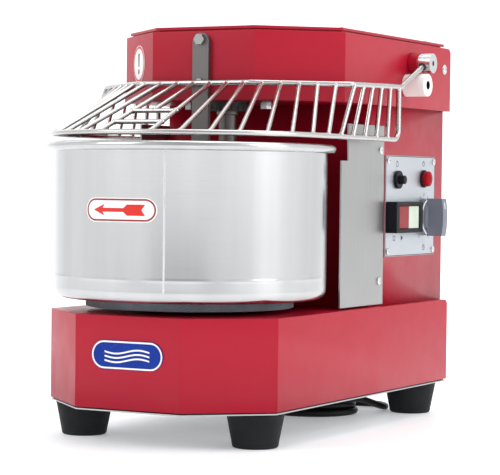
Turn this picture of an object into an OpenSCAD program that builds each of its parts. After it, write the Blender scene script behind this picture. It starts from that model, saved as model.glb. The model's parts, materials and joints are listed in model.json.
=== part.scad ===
// Bench-top spiral dough mixer: octagonal painted base and head on a column,
// a turning stainless bowl, a driven spiral, a fixed breaker bar and a hinged wire guard.
// The front faces -Y, the controls are on the +X side, and the feet stand on Z = 0.

/* [Base] */
// Width of the base and the head
body_w = 280; // [276:1:284]
// Depth of the base from its front face to its rear face
base_depth = 516; // [512:1:522]
// Height of the base casing's underside above the bench
base_z = 40; // [39:1:42]
// Height of the base casing
base_h = 97; // [96:1:98]
// Width that each front chamfer takes off
chamfer_x = 76; // [70:1:80]
// Depth that each front chamfer takes off
chamfer_y = 68; // [62:1:72]
// Thickness of the painted sheet
sheet_t = 2; // [1.5:0.5:2]
// Radius of the rear top corners
corner_r = 8; // [4:1:10]

/* [Head and column] */
// Distance from the base's front face back to the head's front face
head_setback = 151; // [150:1:152]
// Height of the head's underside above the bench
head_z = 366; // [365:1:367]
// Height of the head casing
head_h = 76; // [74:1:80]
// Distance from the base's front face back to the column's front
column_setback = 303; // [301:1:305]
// Width of the column
column_w = 265; // [264:1:266]
// Thickness of the head's lid
lid_t = 3; // [2:0.5:4]

/* [Bowl and tools] */
// Distance from the base's front face back to the bowl's axis
bowl_setback = 128; // [127:1:129]
// Outside radius of the bowl's wall
bowl_r = 148; // [146:1:149]
// Height of the bowl from its underside to the top of its rim
bowl_h = 167; // [162:1:168]
// Radius of the rolled bead at the bowl's rim
bead_r = 5; // [4:0.5:5]
// Thickness of the bowl's wall
bowl_t = 1.5; // [1:0.5:2]
// Distance from the bowl's axis back to the spiral's axis
spiral_offset = 81; // [80:1:82]
// Distance from the spiral's axis to the middle of its rod
spiral_r = 44; // [38:1:45]
// Radius of the spiral's rod
spiral_rod_r = 9; // [7:1:9]

/* [Guard] */
// Radius of the guard's wires
wire_r = 3; // [2.5:0.5:3]
// Distance from the middle plane to each side rail
guard_half_w = 158; // [158:1:159]
// Height of the upper rail above the bench
upper_rail_z = 384; // [383:1:385]
// Height of the lower rail above the bench
lower_rail_z = 327; // [326:1:329]
// Height of the guard's hinge above the bench
hinge_z = 417.5; // [417:0.5:418]

/* [Hidden] */
$fn = 48;

// Depth positions: the origin is midway between the bowl rim's front and the base's rear.
rim_r = bowl_r + 2 * bead_r - bowl_t / 2;
front_overhang = rim_r - bowl_setback;
front_y = -(base_depth + front_overhang) / 2 + front_overhang;
rear_y = front_y + base_depth;
bowl_y = front_y + bowl_setback;
spiral_y = bowl_y + spiral_offset;
head_front_y = front_y + head_setback;
column_front_y = front_y + column_setback;
column_rear_y = rear_y - 5;
deck_z = base_z + base_h;
head_top = head_z + head_h;

// Under the base
gasket_t = 1.5;
floor_t = 1.5;
floor_z = base_z - gasket_t - floor_t;
foot_x = 106;
foot_front_y = front_y + 84;
foot_rear_y = front_y + 484;
foot_top_r = 29;
foot_bottom_r = 24.5;
FEET = [[-foot_x, foot_front_y], [foot_x, foot_front_y], [-foot_x, foot_rear_y], [foot_x, foot_rear_y]];

// Lid and drive plate
lid_z = head_top + 2;
lid_inset = 4;
lid_rear_gap = 12;
// Width of the flange that stays round the opening in the head's top, under the lid
flange_w = 22;
plate_z = head_z + sheet_t;
plate_t = 8;
plate_top = plate_z + plate_t;

// Shafts, bearings and drive
shaft_r = 12.5;
run_gap = 0.05;
bearing_r = 26;
bearing_h = 12;
drive_y = column_front_y + 45;
gear_module = 2.5;
pinion_teeth = 12;
gear_teeth = 60;
motor_y = drive_y + gear_module * (pinion_teeth + gear_teeth) / 2;
motor_r = 62;
gear_z = plate_top + 5;
gear_h = 10;
gearbox_top = plate_top + 32;
belt_z = gearbox_top + 6;
belt_h = 14;
belt_t = 5;
belt_gap = 0.5;
spiral_pulley_r = 50;
drive_pulley_r = 34;
bowl_pulley_r = 110;
bowl_drive_pulley_r = 20;
bowl_belt_z = 60;
spiral_housing_top = plate_top + 2 * bearing_h + 5;

// Turntable under the bowl
turntable_z = deck_z + 5;
turntable_r = 113;
turntable_t = 9.5;
bowl_z = turntable_z + turntable_t;
rim_top = bowl_z + bowl_h;
bowl_bend_r = 11;

// Bar in front of the spiral, and the heights of its bolts
breaker_w = 20;
breaker_t = 6;
breaker_low = 171;
breaker_high = 429.5;
breaker_bolts_z = [432, 385.5];

// Guard: the upper rail follows the head, and the lower rail follows the bowl
upper_front_y = head_front_y - 18;
upper_corner = [guard_half_w, head_front_y + 54];
upper_fold = [71, upper_front_y];
lower_y = bowl_y + 14;
guard_end_y = column_front_y + 19;
arm_bend = [guard_end_y + 7, upper_rail_z + 0.5];
hinge_y = column_front_y + 95.5;
hub_r = 11.5;
hub_in = 152.4;
hub_out = 167.3;
pin_r = 6;
bumper_y = column_front_y + 79.5;
bumper_z = hinge_z - 26;
bumper_r = 13;
outer_x = 168.4;
boss_r = 13;
boss_out = 152;
fold_rods = 9;
side_rods = 5;
rod_r = wire_r - 0.5;
rail_bend_r = 14;
// How far down the middle rod the bars of the ingredient opening lie
crossbars = [0.58, 0.8];
arc_rods = 8;

// Controls on the column's right side
skin_x = column_w / 2;
panel_t = 2;
panel_x = skin_x + panel_t;
panel_y = [front_y + 341.5, front_y + 484.5];
panel_z = [193, 310];
reset_at = [front_y + 373.5, 282];
lamp_at = [front_y + 450, 283.5];
knob_at = [front_y + 452.5, 238];
switch_y = [front_y + 343, front_y + 419];
switch_z = [220.5, 256.5];
switch_out = 14;
switch_mid_y = (switch_y[0] + switch_y[1]) / 2;
switch_mid_z = (switch_z[0] + switch_z[1]) / 2;
key_w = 28;
key_h = 26;

// Power cord: LEAD runs from the gland to the coil, and TAIL from the coil's top to the plug
cord_r = 4;
coil_at = [10, 169];
coil_outer = 57;
coil_inner = 29;
coil_h = 16;
gland_at = [-79, 116];
sleeve_end = [-65, 116, 22];
sleeve_len = 24;
plug_at = [23, 262];
plug_angle = 200;
plug_neck = 22;
plug_len = 54;
LEAD = [
    [-65, 116, 22], [-58.5, 116, 15.5], [-50.5, 116, 9.5], [-41, 116, 5.5], [-31, 116, 4],
    [-19, 116, 4], [-7, 116, 4]
];
TAIL = [
    [-8, 119, 12], [5, 115.8, 13.4], [18.5, 116.6, 15.8], [31.5, 121.8, 17.9], [42.5, 130.3, 19.4],
    [51, 140.5, 20], [57, 152, 20], [61, 164, 20], [64.2, 177, 19], [67.2, 190, 16.7],
    [70.2, 204, 12.9], [72.8, 218, 8.7], [74.2, 232.1, 5.6], [71.7, 244.8, 4.2], [64.7, 255.7, 4],
    [54, 263.2, 4], [41.4, 266.1, 4], [28.6, 264, 4], [23, 262, 4]
];

// Screws: centre of the head's seat and the direction that the head faces
lid_screw_x = body_w / 2 - 14;
SIDE_SCREWS = [
    for (s = [-1, 1]) [[s * panel_x, column_front_y + 23.5, 315], [0, s * 90, 0]],
    for (s = [-1, 1]) [[s * panel_x, column_front_y + 22, 166], [0, s * 90, 0]],
    for (s = [-1, 1]) [[s * body_w / 2, rear_y - 20, 416], [0, s * 90, 0]]
];
PANEL_SCREWS = [
    for (y = [panel_y[0] + 6, panel_y[1] - 6], z = [panel_z[0] + 6, panel_z[1] - 6])
        [[panel_x, y, z], [0, 90, 0]]
];
LID_SCREWS = [
    for (s = [-1, 1], y = [head_front_y + 88, rear_y - 45]) [[s * lid_screw_x, y, lid_z + lid_t], [0, 0, 0]]
];
REAR_SCREWS = [
    for (s = [-1, 1], z = [deck_z + 12, 250, head_z - 12])
        [[s * (column_w / 2 - 10), column_rear_y + 1.5, z], [-90, 0, 0]]
];
BUMPER_SCREWS = [for (s = [-1, 1]) [[s * (outer_x - 8), bumper_y, bumper_z], [0, s * 90, 0]]];

// ---------- helpers ----------

// Octagon-fronted outline, drawn from its front face back
module plan(w, depth, cx, cy) {
    polygon([
        [-w / 2 + cx, 0], [w / 2 - cx, 0], [w / 2, cy], [w / 2, depth], [-w / 2, depth], [-w / 2, cy]
    ]);
}

// Prism with the octagon-fronted outline and rounded top rear corners
module casing(w, depth, cx, cy, h, r) {
    difference() {
        linear_extrude(h) plan(w, depth, cx, cy);
        translate([0, depth - r, h - r]) rotate([0, 90, 0]) difference() {
            translate([-r - 1, 0, -w]) cube([r + 1, r + 1, 2 * w]);
            cylinder(r = r, h = 3 * w, center = true);
        }
    }
}

// Round bar between two points
module bar(p, q, r) {
    v = q - p;
    len = norm(v);
    translate(p) rotate([0, acos(v[2] / len), atan2(v[1], v[0])]) cylinder(r = r, h = len);
}

// Bend in a round wire at a corner, turning from one direction to another
module wire_bend(corner, from_dir, to_dir, bend_r, r) {
    turn = acos(from_dir * to_dir);
    reach = bend_r * tan(turn / 2);
    side = (to_dir - from_dir * cos(turn)) / sin(turn);
    up = cross(from_dir, side);
    centre = corner - from_dir * reach + side * bend_r;
    multmatrix([
        [-side[0], from_dir[0], up[0], centre[0]],
        [-side[1], from_dir[1], up[1], centre[1]],
        [-side[2], from_dir[2], up[2], centre[2]],
        [0, 0, 0, 1]
    ]) rotate_extrude(angle = turn) translate([bend_r, 0]) circle(r = r);
}

// Round wire through a list of points, bent to a radius at each inner point
module bent_wire(points, bend_r, r) {
    last = len(points) - 1;
    dirs = [for (i = [0:last - 1]) (points[i + 1] - points[i]) / norm(points[i + 1] - points[i])];
    reach = [for (i = [0:last]) i == 0 || i == last ? 0
        : bend_r * tan(acos(dirs[i - 1] * dirs[i]) / 2)];
    // Each straight run goes a little way into the bends, which are a hair thicker
    into = [for (i = [0:last]) i == 0 || i == last ? 0 : 1];
    for (i = [0:last - 1]) bar(points[i] + dirs[i] * (reach[i] - into[i]),
        points[i + 1] - dirs[i] * (reach[i + 1] - into[i + 1]), r);
    for (i = [1:last - 1]) wire_bend(points[i], dirs[i - 1], dirs[i], bend_r, r + 0.05);
}

// Both sides of a symmetrical pair
module both_sides() {
    children();
    mirror([1, 0, 0]) children();
}

// Pan-head screw with a cross recess, and the hole for its shank
module pan_screw(spot, head_r = 4.6, shank = 5) {
    translate(spot[0]) rotate(spot[1]) {
        difference() {
            intersection() {
                cylinder(r = head_r, h = 2.8);
                translate([0, 0, 2.8 - 2 * head_r]) sphere(r = 2 * head_r);
            }
            for (a = [0, 90]) rotate([0, 0, a]) translate([-2.6, -0.5, 1.4]) cube([5.2, 1, 2]);
        }
        translate([0, 0, -shank]) cylinder(r = 2.3, h = shank);
    }
}

module screw_holes(spots, depth = 8) {
    for (spot = spots) translate(spot[0]) rotate(spot[1]) translate([0, 0, -depth])
        cylinder(r = 2.6, h = depth + 1);
}

// Hexagon bolt head with its shank, pointing up
module hex_bolt(head_r, head_h, shank_r, shank) {
    cylinder(r = head_r, h = head_h, $fn = 6);
    translate([0, 0, -shank]) cylinder(r = shank_r, h = shank);
}

// Straight-flanked gear; a tooth stands at angle zero
module gear(teeth, h, bore) {
    pitch_r = gear_module * teeth / 2;
    root_r = pitch_r - 1.25 * gear_module;
    tip_r = pitch_r + 0.75 * gear_module;
    tooth = 0.8 * PI * gear_module / 2;
    linear_extrude(h) difference() {
        union() {
            circle(r = root_r);
            for (i = [0:teeth - 1]) rotate(i * 360 / teeth) polygon([
                [root_r - 1, -tooth * 0.72], [tip_r, -tooth * 0.26], [tip_r, tooth * 0.26],
                [root_r - 1, tooth * 0.72]
            ]);
        }
        circle(r = bore);
    }
}

// Belt loop round two pulleys on the Y axis
module belt(y_a, r_a, y_b, r_b, z) {
    translate([0, 0, z]) linear_extrude(belt_h - 2) difference() {
        hull() {
            translate([0, y_a]) circle(r = r_a + belt_gap + belt_t);
            translate([0, y_b]) circle(r = r_b + belt_gap + belt_t);
        }
        hull() {
            translate([0, y_a]) circle(r = r_a + belt_gap);
            translate([0, y_b]) circle(r = r_b + belt_gap);
        }
    }
}

// Flanged pulley with a belt track
module pulley(r, bore, spokes) {
    difference() {
        union() {
            cylinder(r = r, h = belt_h);
            translate([0, 0, -1.5]) cylinder(r = r + 3, h = 1.5);
            translate([0, 0, belt_h]) cylinder(r = r + 3, h = 1.5);
        }
        translate([0, 0, -2]) cylinder(r = bore, h = belt_h + 4);
        for (i = [0:1:spokes - 1]) rotate(i * 360 / spokes) translate([r * 0.62, 0, -2])
            cylinder(r = r * 0.2, h = belt_h + 4);
    }
}

// ---------- base ----------

module base_shell() {
    color([0.70, 0.17, 0.25]) difference() {
        translate([0, front_y, base_z]) casing(body_w, base_depth, chamfer_x, chamfer_y, base_h, corner_r);
        translate([0, front_y + sheet_t, base_z - 1])
            casing(body_w - 2 * sheet_t, base_depth - 2 * sheet_t, chamfer_x - 1, chamfer_y - 1,
                base_h - sheet_t + 1, corner_r - sheet_t);
        translate([0, bowl_y, 0]) cylinder(r = 36.2, h = 200);
        translate([-100, column_front_y + 15, 100]) cube([200, column_rear_y - column_front_y - 35, 60]);
    }
}

module base_gasket() {
    color([0.05, 0.05, 0.05]) translate([0, front_y + 3, floor_z + floor_t]) linear_extrude(gasket_t)
        difference() {
            plan(body_w - 6, base_depth - 6, chamfer_x - 2, chamfer_y - 2);
            translate([0, 12]) plan(body_w - 30, base_depth - 30, chamfer_x - 6, chamfer_y - 6);
        }
}

module floor_plate() {
    color([0.80, 0.81, 0.83]) difference() {
        translate([0, front_y + 1, floor_z]) linear_extrude(floor_t)
            plan(body_w - 2, base_depth - 2, chamfer_x - 0.5, chamfer_y - 0.5);
        for (p = FEET) translate([p[0], p[1], 0]) cylinder(r = 5.2, h = 60);
        translate([gland_at[0], gland_at[1], 0]) cylinder(r = 8, h = 60);
        for (i = [-3:3]) translate([i * 22 - 4, bowl_y + 50, 0]) cube([8, 60, 60]);
    }
}

module foot(p) {
    color([0.13, 0.13, 0.14]) translate([p[0], p[1], 0]) difference() {
        rotate_extrude() polygon([
            [0, 0], [foot_bottom_r - 3, 0], [foot_bottom_r, 3], [foot_top_r, floor_z], [0, floor_z]
        ]);
        translate([0, 0, -1]) cylinder(r = 11, h = 13);
        cylinder(r = 5.2, h = 60);
    }
}

module foot_front_left() { foot(FEET[0]); }
module foot_front_right() { foot(FEET[1]); }
module foot_rear_left() { foot(FEET[2]); }
module foot_rear_right() { foot(FEET[3]); }

module foot_bolts() {
    color([0.7, 0.7, 0.72]) for (p = FEET) translate([p[0], p[1], 0]) {
        difference() {
            translate([0, 0, 6]) cylinder(r = 9, h = 6);
            translate([0, 0, 5]) cylinder(r = 4, h = 4, $fn = 6);
        }
        translate([0, 0, 11.9]) cylinder(r = 5, h = 36);
        translate([0, 0, floor_z + floor_t]) difference() {
            cylinder(r = 9.5, h = 7, $fn = 6);
            translate([0, 0, -1]) cylinder(r = 4.9, h = 9);
        }
    }
}

module base_casting() {
    top = deck_z - sheet_t;
    color([0.45, 0.46, 0.48]) difference() {
        union() {
            translate([-70, bowl_y - 60, top - 8]) cube([140, drive_y - bowl_y + 105, 8]);
            translate([0, bowl_y, 82]) cylinder(r = 36, h = deck_z + 2 - 82);
            translate([0, drive_y, top - 24]) cylinder(r = 34, h = 24);
        }
        translate([0, bowl_y, 0]) cylinder(r = 15, h = 200);
        translate([0, bowl_y, 85]) cylinder(r = bearing_r, h = 60);
        translate([0, drive_y, 0]) cylinder(r = 15, h = 200);
        translate([0, drive_y, top - 8 - bearing_h]) cylinder(r = bearing_r, h = 60);
    }
}

// ---------- column and head ----------

module column_shell() {
    depth = column_rear_y - column_front_y;
    color([0.62, 0.14, 0.22]) difference() {
        translate([-column_w / 2, column_front_y, deck_z]) cube([column_w, depth, head_z - deck_z]);
        translate([-column_w / 2 + sheet_t, column_front_y + sheet_t, deck_z - 1])
            cube([column_w - 2 * sheet_t, depth, head_z - deck_z + 2]);
        screw_holes(concat(SIDE_SCREWS, PANEL_SCREWS));
        translate([skin_x - 5, reset_at[0], reset_at[1]]) rotate([0, 90, 0]) cylinder(r = 7, h = 10);
        translate([skin_x - 5, lamp_at[0], lamp_at[1]]) rotate([0, 90, 0]) cylinder(r = 9, h = 10);
        translate([skin_x - 5, knob_at[0], knob_at[1]]) rotate([0, 90, 0]) cylinder(r = 6, h = 10);
        translate([skin_x - 5, switch_y[0] + 6, switch_z[0] + 3])
            cube([10, switch_y[1] - switch_y[0] - 12, switch_z[1] - switch_z[0] - 6]);
    }
}

module rear_cover() {
    w = column_w - 1;
    color([0.62, 0.14, 0.22]) difference() {
        union() {
            translate([-w / 2, column_rear_y, deck_z + 1]) cube([w, 1.5, head_z - deck_z - 2]);
            for (s = [-1, 1]) translate([s * (w / 2 - 11) - 8, column_rear_y - 8, deck_z + 1])
                cube([16, 8, head_z - deck_z - 2]);
        }
        screw_holes(REAR_SCREWS, 12);
        for (s = [-1, 1], i = [0:6]) translate([s * 50 - 34, column_rear_y - 1, 190 + i * 14])
            cube([68, 4, 5]);
    }
}

module head_shell() {
    depth = rear_y - head_front_y;
    color([0.66, 0.15, 0.23]) difference() {
        translate([0, head_front_y, head_z]) casing(body_w, depth, chamfer_x, chamfer_y, head_h, corner_r);
        translate([0, head_front_y + sheet_t, head_z + sheet_t])
            casing(body_w - 2 * sheet_t, depth - 2 * sheet_t, chamfer_x - 1, chamfer_y - 1,
                head_h - 2 * sheet_t, corner_r - sheet_t);
        translate([0, head_front_y + flange_w, head_top - sheet_t - 1]) linear_extrude(sheet_t + 2)
            plan(body_w - 2 * flange_w, depth - 2 * flange_w, chamfer_x - 11, chamfer_y - 11);
        screw_holes(LID_SCREWS, 12);
        translate([-110, column_front_y + 8, head_z - 1]) cube([220, 198, 5]);
        translate([0, spiral_y, head_z - 1]) cylinder(r = 24.2, h = 5);
        for (s = [-1, 1]) {
            translate([s * 48, spiral_y, head_z - 1]) cylinder(r = 5.2, h = 5);
            translate([s * body_w / 2, hinge_y, hinge_z]) rotate([0, 90, 0])
                cylinder(r = pin_r + 0.5, h = 12, center = true);
            translate([s * body_w / 2, bumper_y, bumper_z]) rotate([0, 90, 0])
                cylinder(r = 2.6, h = 12, center = true);
        }
        screw_holes(SIDE_SCREWS);
        for (z = breaker_bolts_z) translate([0, head_front_y - 1, z]) rotate([-90, 0, 0])
            cylinder(r = 4.2, h = 6);
    }
}

module head_lid() {
    depth = rear_y - head_front_y - lid_inset - lid_rear_gap;
    rim = 7;
    rim_w = 4;
    color([0.66, 0.15, 0.23]) difference() {
        union() {
            translate([0, head_front_y + lid_inset, lid_z]) linear_extrude(lid_t)
                plan(body_w - 2 * lid_inset, depth, chamfer_x - 2, chamfer_y - 2);
            translate([0, head_front_y + rim, head_top]) linear_extrude(lid_z - head_top) difference() {
                plan(body_w - 2 * rim, depth - rim, chamfer_x - 3, chamfer_y - 3);
                translate([0, rim_w])
                    plan(body_w - 2 * (rim + rim_w), depth - rim - 2 * rim_w, chamfer_x - 5, chamfer_y - 5);
            }
        }
        screw_holes(LID_SCREWS, 12);
    }
}

module drive_plate() {
    color([0.5, 0.5, 0.52]) difference() {
        translate([0, head_front_y + 12, plate_z]) linear_extrude(plate_t)
            plan(body_w - 40, rear_y - head_front_y - 20, chamfer_x - 8, chamfer_y - 8);
        translate([0, spiral_y, plate_z - 1]) cylinder(r = 24.2, h = plate_t + 2);
        translate([0, drive_y, plate_z - 1]) cylinder(r = bearing_r, h = plate_t + 2);
        translate([0, motor_y, plate_z - 1]) cylinder(r = 20, h = plate_t + 2);
        for (s = [-1, 1]) translate([s * 48, spiral_y, plate_z - 1]) cylinder(r = 4.3, h = plate_t + 2);
    }
}

module breaker_bar() {
    half = breaker_w / 2;
    color([0.62, 0.63, 0.63]) difference() {
        translate([0, head_front_y - breaker_t, 0]) union() {
            translate([-half, 0, breaker_low]) cube([breaker_w, breaker_t, breaker_high - breaker_low]);
            for (z = [breaker_low, breaker_high]) translate([0, 0, z]) rotate([-90, 0, 0])
                cylinder(r = half, h = breaker_t);
        }
        for (z = breaker_bolts_z) translate([0, head_front_y - breaker_t - 1, z]) rotate([-90, 0, 0])
            cylinder(r = 4.2, h = breaker_t + 2);
    }
}

module hex_bolts() {
    breaker_shank = 9;
    color([0.75, 0.75, 0.76]) {
        translate([0, head_front_y - breaker_t, breaker_bolts_z[0]]) rotate([90, 0, 0])
            hex_bolt(6.5, 4.5, 4, breaker_shank);
        translate([0, head_front_y - breaker_t, breaker_bolts_z[1]]) rotate([90, 0, 0])
            hex_bolt(4.6, 3, 3, breaker_shank);
        for (s = [-1, 1]) translate([s * 48, spiral_y, head_z]) rotate([180, 0, 0]) hex_bolt(7, 8, 4, 16);
    }
}

module spiral_bearing_housing() {
    color([0.55, 0.56, 0.58]) difference() {
        translate([0, spiral_y, 0]) union() {
            translate([0, 0, head_z - 10]) cylinder(r = 24, h = plate_top - head_z + 10);
            translate([0, 0, plate_top]) cylinder(r = 36, h = spiral_housing_top - plate_top);
        }
        translate([0, spiral_y, head_z - 11]) cylinder(r = 14, h = 100);
        translate([0, spiral_y, plate_top + 3]) cylinder(r = bearing_r, h = 60);
        for (a = [0:18:342]) translate([0, spiral_y, head_z - 10]) rotate(a) translate([24.6, 0, 0])
            cylinder(r = 1.6, h = 7);
    }
}

module shaft_bearings() {
    spots = [
        [spiral_y, plate_top + 3], [spiral_y, plate_top + 4 + bearing_h],
        [bowl_y, 85], [bowl_y, deck_z + 2 - bearing_h],
        [drive_y, deck_z - sheet_t - 8 - bearing_h], [drive_y, gearbox_top - 14]
    ];
    color([0.78, 0.79, 0.8]) for (s = spots) translate([0, s[0], s[1]]) difference() {
        cylinder(r = bearing_r, h = bearing_h);
        translate([0, 0, -1]) cylinder(r = shaft_r + run_gap, h = bearing_h + 2);
        for (z = [-1, bearing_h - 1]) translate([0, 0, z]) difference() {
            cylinder(r = 22, h = 2);
            translate([0, 0, -1]) cylinder(r = 17, h = 4);
        }
    }
}

module gearbox_housing() {
    wall = 5;
    gear_room = gear_module * gear_teeth / 2 + 5;
    height = gearbox_top - plate_top;
    color([0.42, 0.44, 0.47]) difference() {
        translate([0, 0, plate_top]) union() {
            translate([0, drive_y, 0]) cylinder(r = gear_room + wall, h = height);
            translate([-30, drive_y, 0]) cube([60, motor_y - drive_y + 32, height]);
        }
        translate([0, drive_y, plate_top - 1]) difference() {
            cylinder(r = gear_room, h = height - wall + 1);
            translate([0, 0, gear_h + 8]) cylinder(r = bearing_r + 6, h = height);
        }
        translate([-25, drive_y + 40, plate_top - 1]) cube([50, motor_y - drive_y - 13, height - wall + 1]);
        translate([0, drive_y, 0]) cylinder(r = 15, h = 500);
        translate([0, drive_y, gearbox_top - 14]) cylinder(r = bearing_r, h = bearing_h);
    }
}

// ---------- motor and transmission ----------

module motor_body() {
    color([0.25, 0.27, 0.30]) translate([0, motor_y, 0]) difference() {
        union() {
            translate([0, 0, plate_z - 8]) cylinder(r = 68, h = 8);
            translate([0, 0, 182]) cylinder(r = motor_r - 5, h = plate_z - 190);
            for (a = [0:15:345]) rotate(a) translate([motor_r - 8, -1.2, 190]) cube([8, 2.4, 150]);
            translate([-24, -motor_r - 8, 225]) cube([48, 20, 60]);
        }
        translate([0, 0, 190]) cylinder(r = 31, h = 150);
        translate([0, 0, 100]) cylinder(r = 9, h = 300);
        translate([0, drive_y - motor_y, 200]) cylinder(r = 22, h = 200);
    }
}

module motor_fan_cover() {
    color([0.2, 0.21, 0.23]) translate([0, motor_y, 0]) difference() {
        translate([0, 0, 150]) cylinder(r = motor_r - 2, h = 31);
        translate([0, 0, 152]) cylinder(r = motor_r - 4, h = 40);
        for (r = [18:10:48], q = [0:3]) rotate(q * 90 + 20) translate([r, -1, 149]) cube([5, 14, 5]);
    }
}

module motor_rotor() {
    color([0.6, 0.6, 0.62]) translate([0, motor_y, 0]) {
        translate([0, 0, 156]) cylinder(r = 8, h = gear_z - 156 + 1);
        translate([0, 0, 200]) cylinder(r = 30, h = 125);
        difference() {
            union() {
                translate([0, 0, 157]) cylinder(r = 20, h = 16);
                for (a = [0:45:315]) rotate(a) translate([18, -1, 157]) cube([32, 2, 16]);
            }
            translate([0, 0, 150]) cylinder(r = 7.9, h = 40);
        }
        translate([0, 0, gear_z]) rotate(-90 + 180 / pinion_teeth) gear(pinion_teeth, gear_h, 0.1);
    }
}

module drive_shaft() {
    color([0.7, 0.7, 0.72]) translate([0, drive_y, 0]) {
        translate([0, 0, 52]) cylinder(r = shaft_r, h = belt_z + belt_h + 4 - 52);
        for (p = [[belt_z, drive_pulley_r], [bowl_belt_z, bowl_drive_pulley_r]])
            translate([0, 0, p[0]]) pulley(p[1], shaft_r - 0.5, 0);
    }
}

module drive_gear() {
    color([0.5, 0.51, 0.53]) translate([0, drive_y, gear_z]) difference() {
        rotate(90) gear(gear_teeth, gear_h, shaft_r);
        for (a = [0:60:300]) rotate(a) translate([44, 0, -1]) cylinder(r = 14, h = gear_h + 2);
    }
}

module bowl_pulley() {
    color([0.5, 0.51, 0.53]) translate([0, bowl_y, bowl_belt_z]) pulley(bowl_pulley_r, shaft_r, 6);
}

module spiral_belt() {
    color([0.1, 0.1, 0.1]) belt(drive_y, drive_pulley_r, spiral_y, spiral_pulley_r, belt_z + 1);
}

module bowl_belt() {
    color([0.1, 0.1, 0.1]) belt(drive_y, bowl_drive_pulley_r, bowl_y, bowl_pulley_r, bowl_belt_z + 1);
}

module contactor() {
    color([0.85, 0.85, 0.82]) translate([-skin_x + sheet_t, column_front_y + 120, 220]) union() {
        cube([45, 48, 70]);
        translate([45, 6, 10]) cube([12, 36, 50]);
    }
}

module guard_switch() {
    inner = body_w / 2 - sheet_t;
    color([0.12, 0.12, 0.13]) translate([inner - 24, hinge_y + 8, hinge_z - 14]) union() {
        cube([24, 30, 26]);
        translate([6, -1.2, 6]) cube([12, 1.2, 14]);
    }
}

// ---------- side guards and controls ----------

module side_guards() {
    color([0.74, 0.75, 0.75]) difference() {
        both_sides() translate([skin_x, column_front_y, 0]) rotate([90, 0, 90]) linear_extrude(panel_t)
            polygon([
                [-78, 139.5], [34, 139.5], [33, 343], [-61, 343], [-61, 302], [-78, 302]
            ]);
        screw_holes(SIDE_SCREWS);
    }
}

module control_panel() {
    color([0.80, 0.81, 0.82]) difference() {
        translate([skin_x, panel_y[0], panel_z[0]])
            cube([panel_t, panel_y[1] - panel_y[0], panel_z[1] - panel_z[0]]);
        screw_holes(PANEL_SCREWS);
        translate([skin_x - 1, reset_at[0], reset_at[1]]) rotate([0, 90, 0]) cylinder(r = 7, h = 5);
        translate([skin_x - 1, lamp_at[0], lamp_at[1]]) rotate([0, 90, 0]) cylinder(r = 9, h = 5);
        translate([skin_x - 1, knob_at[0], knob_at[1]]) rotate([0, 90, 0]) cylinder(r = 6, h = 5);
        translate([skin_x - 1, switch_y[0] + 6, switch_z[0] + 3])
            cube([5, switch_y[1] - switch_y[0] - 12, switch_z[1] - switch_z[0] - 6]);
    }
}

module reset_bezel() {
    color([0.07, 0.07, 0.08]) translate([panel_x, reset_at[0], reset_at[1]]) rotate([0, 90, 0]) difference() {
        union() {
            cylinder(r = 10.5, h = 3.8);
            translate([0, 0, -22]) cylinder(r = 6.8, h = 22.1);
        }
        translate([0, 0, -20]) cylinder(r = 5.05, h = 30);
    }
}

module reset_button() {
    color([0.05, 0.05, 0.06]) translate([panel_x, reset_at[0], reset_at[1]]) rotate([0, 90, 0]) {
        translate([0, 0, -14]) cylinder(r = 5, h = 24.4);
        translate([0, 0, 10.4]) intersection() {
            cylinder(r = 5, h = 0.8);
            translate([0, 0, -19]) sphere(r = 19.8);
        }
    }
}

module lamp_bezel() {
    color([0.07, 0.07, 0.08]) translate([panel_x, lamp_at[0], lamp_at[1]]) rotate([0, 90, 0]) difference() {
        union() {
            cylinder(r = 10.5, h = 2.6);
            translate([0, 0, -26]) cylinder(r = 8.8, h = 26.1);
        }
        translate([0, 0, -20]) cylinder(r = 7, h = 40);
    }
}

module lamp_lens() {
    color([0.85, 0.12, 0.15]) translate([panel_x + 2.6, lamp_at[0], lamp_at[1]]) rotate([0, 90, 0]) {
        cylinder(r = 9, h = 5.4);
        translate([0, 0, 5.4]) intersection() {
            cylinder(r = 9, h = 2.6);
            translate([0, 0, -14.3]) sphere(r = 16.9);
        }
        translate([0, 0, -6]) cylinder(r = 6.9, h = 6);
    }
}

module switch_housing() {
    w = switch_y[1] - switch_y[0];
    h = switch_z[1] - switch_z[0];
    color([0.16, 0.17, 0.18]) difference() {
        union() {
            translate([panel_x, switch_y[0], switch_z[0]]) cube([switch_out, w, h]);
            translate([panel_x - 36, switch_y[0] + 6.5, switch_z[0] + 3.5]) cube([36, w - 13, h - 7]);
        }
        translate([panel_x + switch_out - 9, switch_mid_y - key_w - 1, switch_mid_z - key_h / 2 - 0.5])
            cube([12, 2 * key_w + 2, key_h + 1]);
        translate([panel_x - 20, switch_mid_y - key_w + 4, switch_mid_z - 8]) cube([40, 2 * key_w - 8, 16]);
    }
}

// One press key of the start and stop switch; side is -1 in front and 1 behind
module switch_key(side) {
    y = side < 0 ? switch_mid_y - key_w - 0.5 : switch_mid_y + 0.5;
    translate([panel_x + switch_out - 5.5, y, switch_mid_z - key_h / 2]) cube([4, key_w, key_h]);
    translate([panel_x - 14, y + 8, switch_mid_z - 6]) cube([switch_out + 9, key_w - 14, 12]);
}

module stop_button() {
    color([0.72, 0.12, 0.14]) switch_key(-1);
}

module start_button() {
    color([0.80, 0.88, 0.82]) switch_key(1);
}

module timer_body() {
    color([0.15, 0.15, 0.16]) translate([skin_x - sheet_t - 34, knob_at[0], knob_at[1]]) rotate([0, 90, 0])
        difference() {
            union() {
                translate([-20, -20, 0]) cube([40, 40, 34]);
                translate([0, 0, 33.9]) cylinder(r = 5.8, h = 4);
            }
            translate([0, 0, 8]) cylinder(r = 3.05, h = 40);
        }
}

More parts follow.
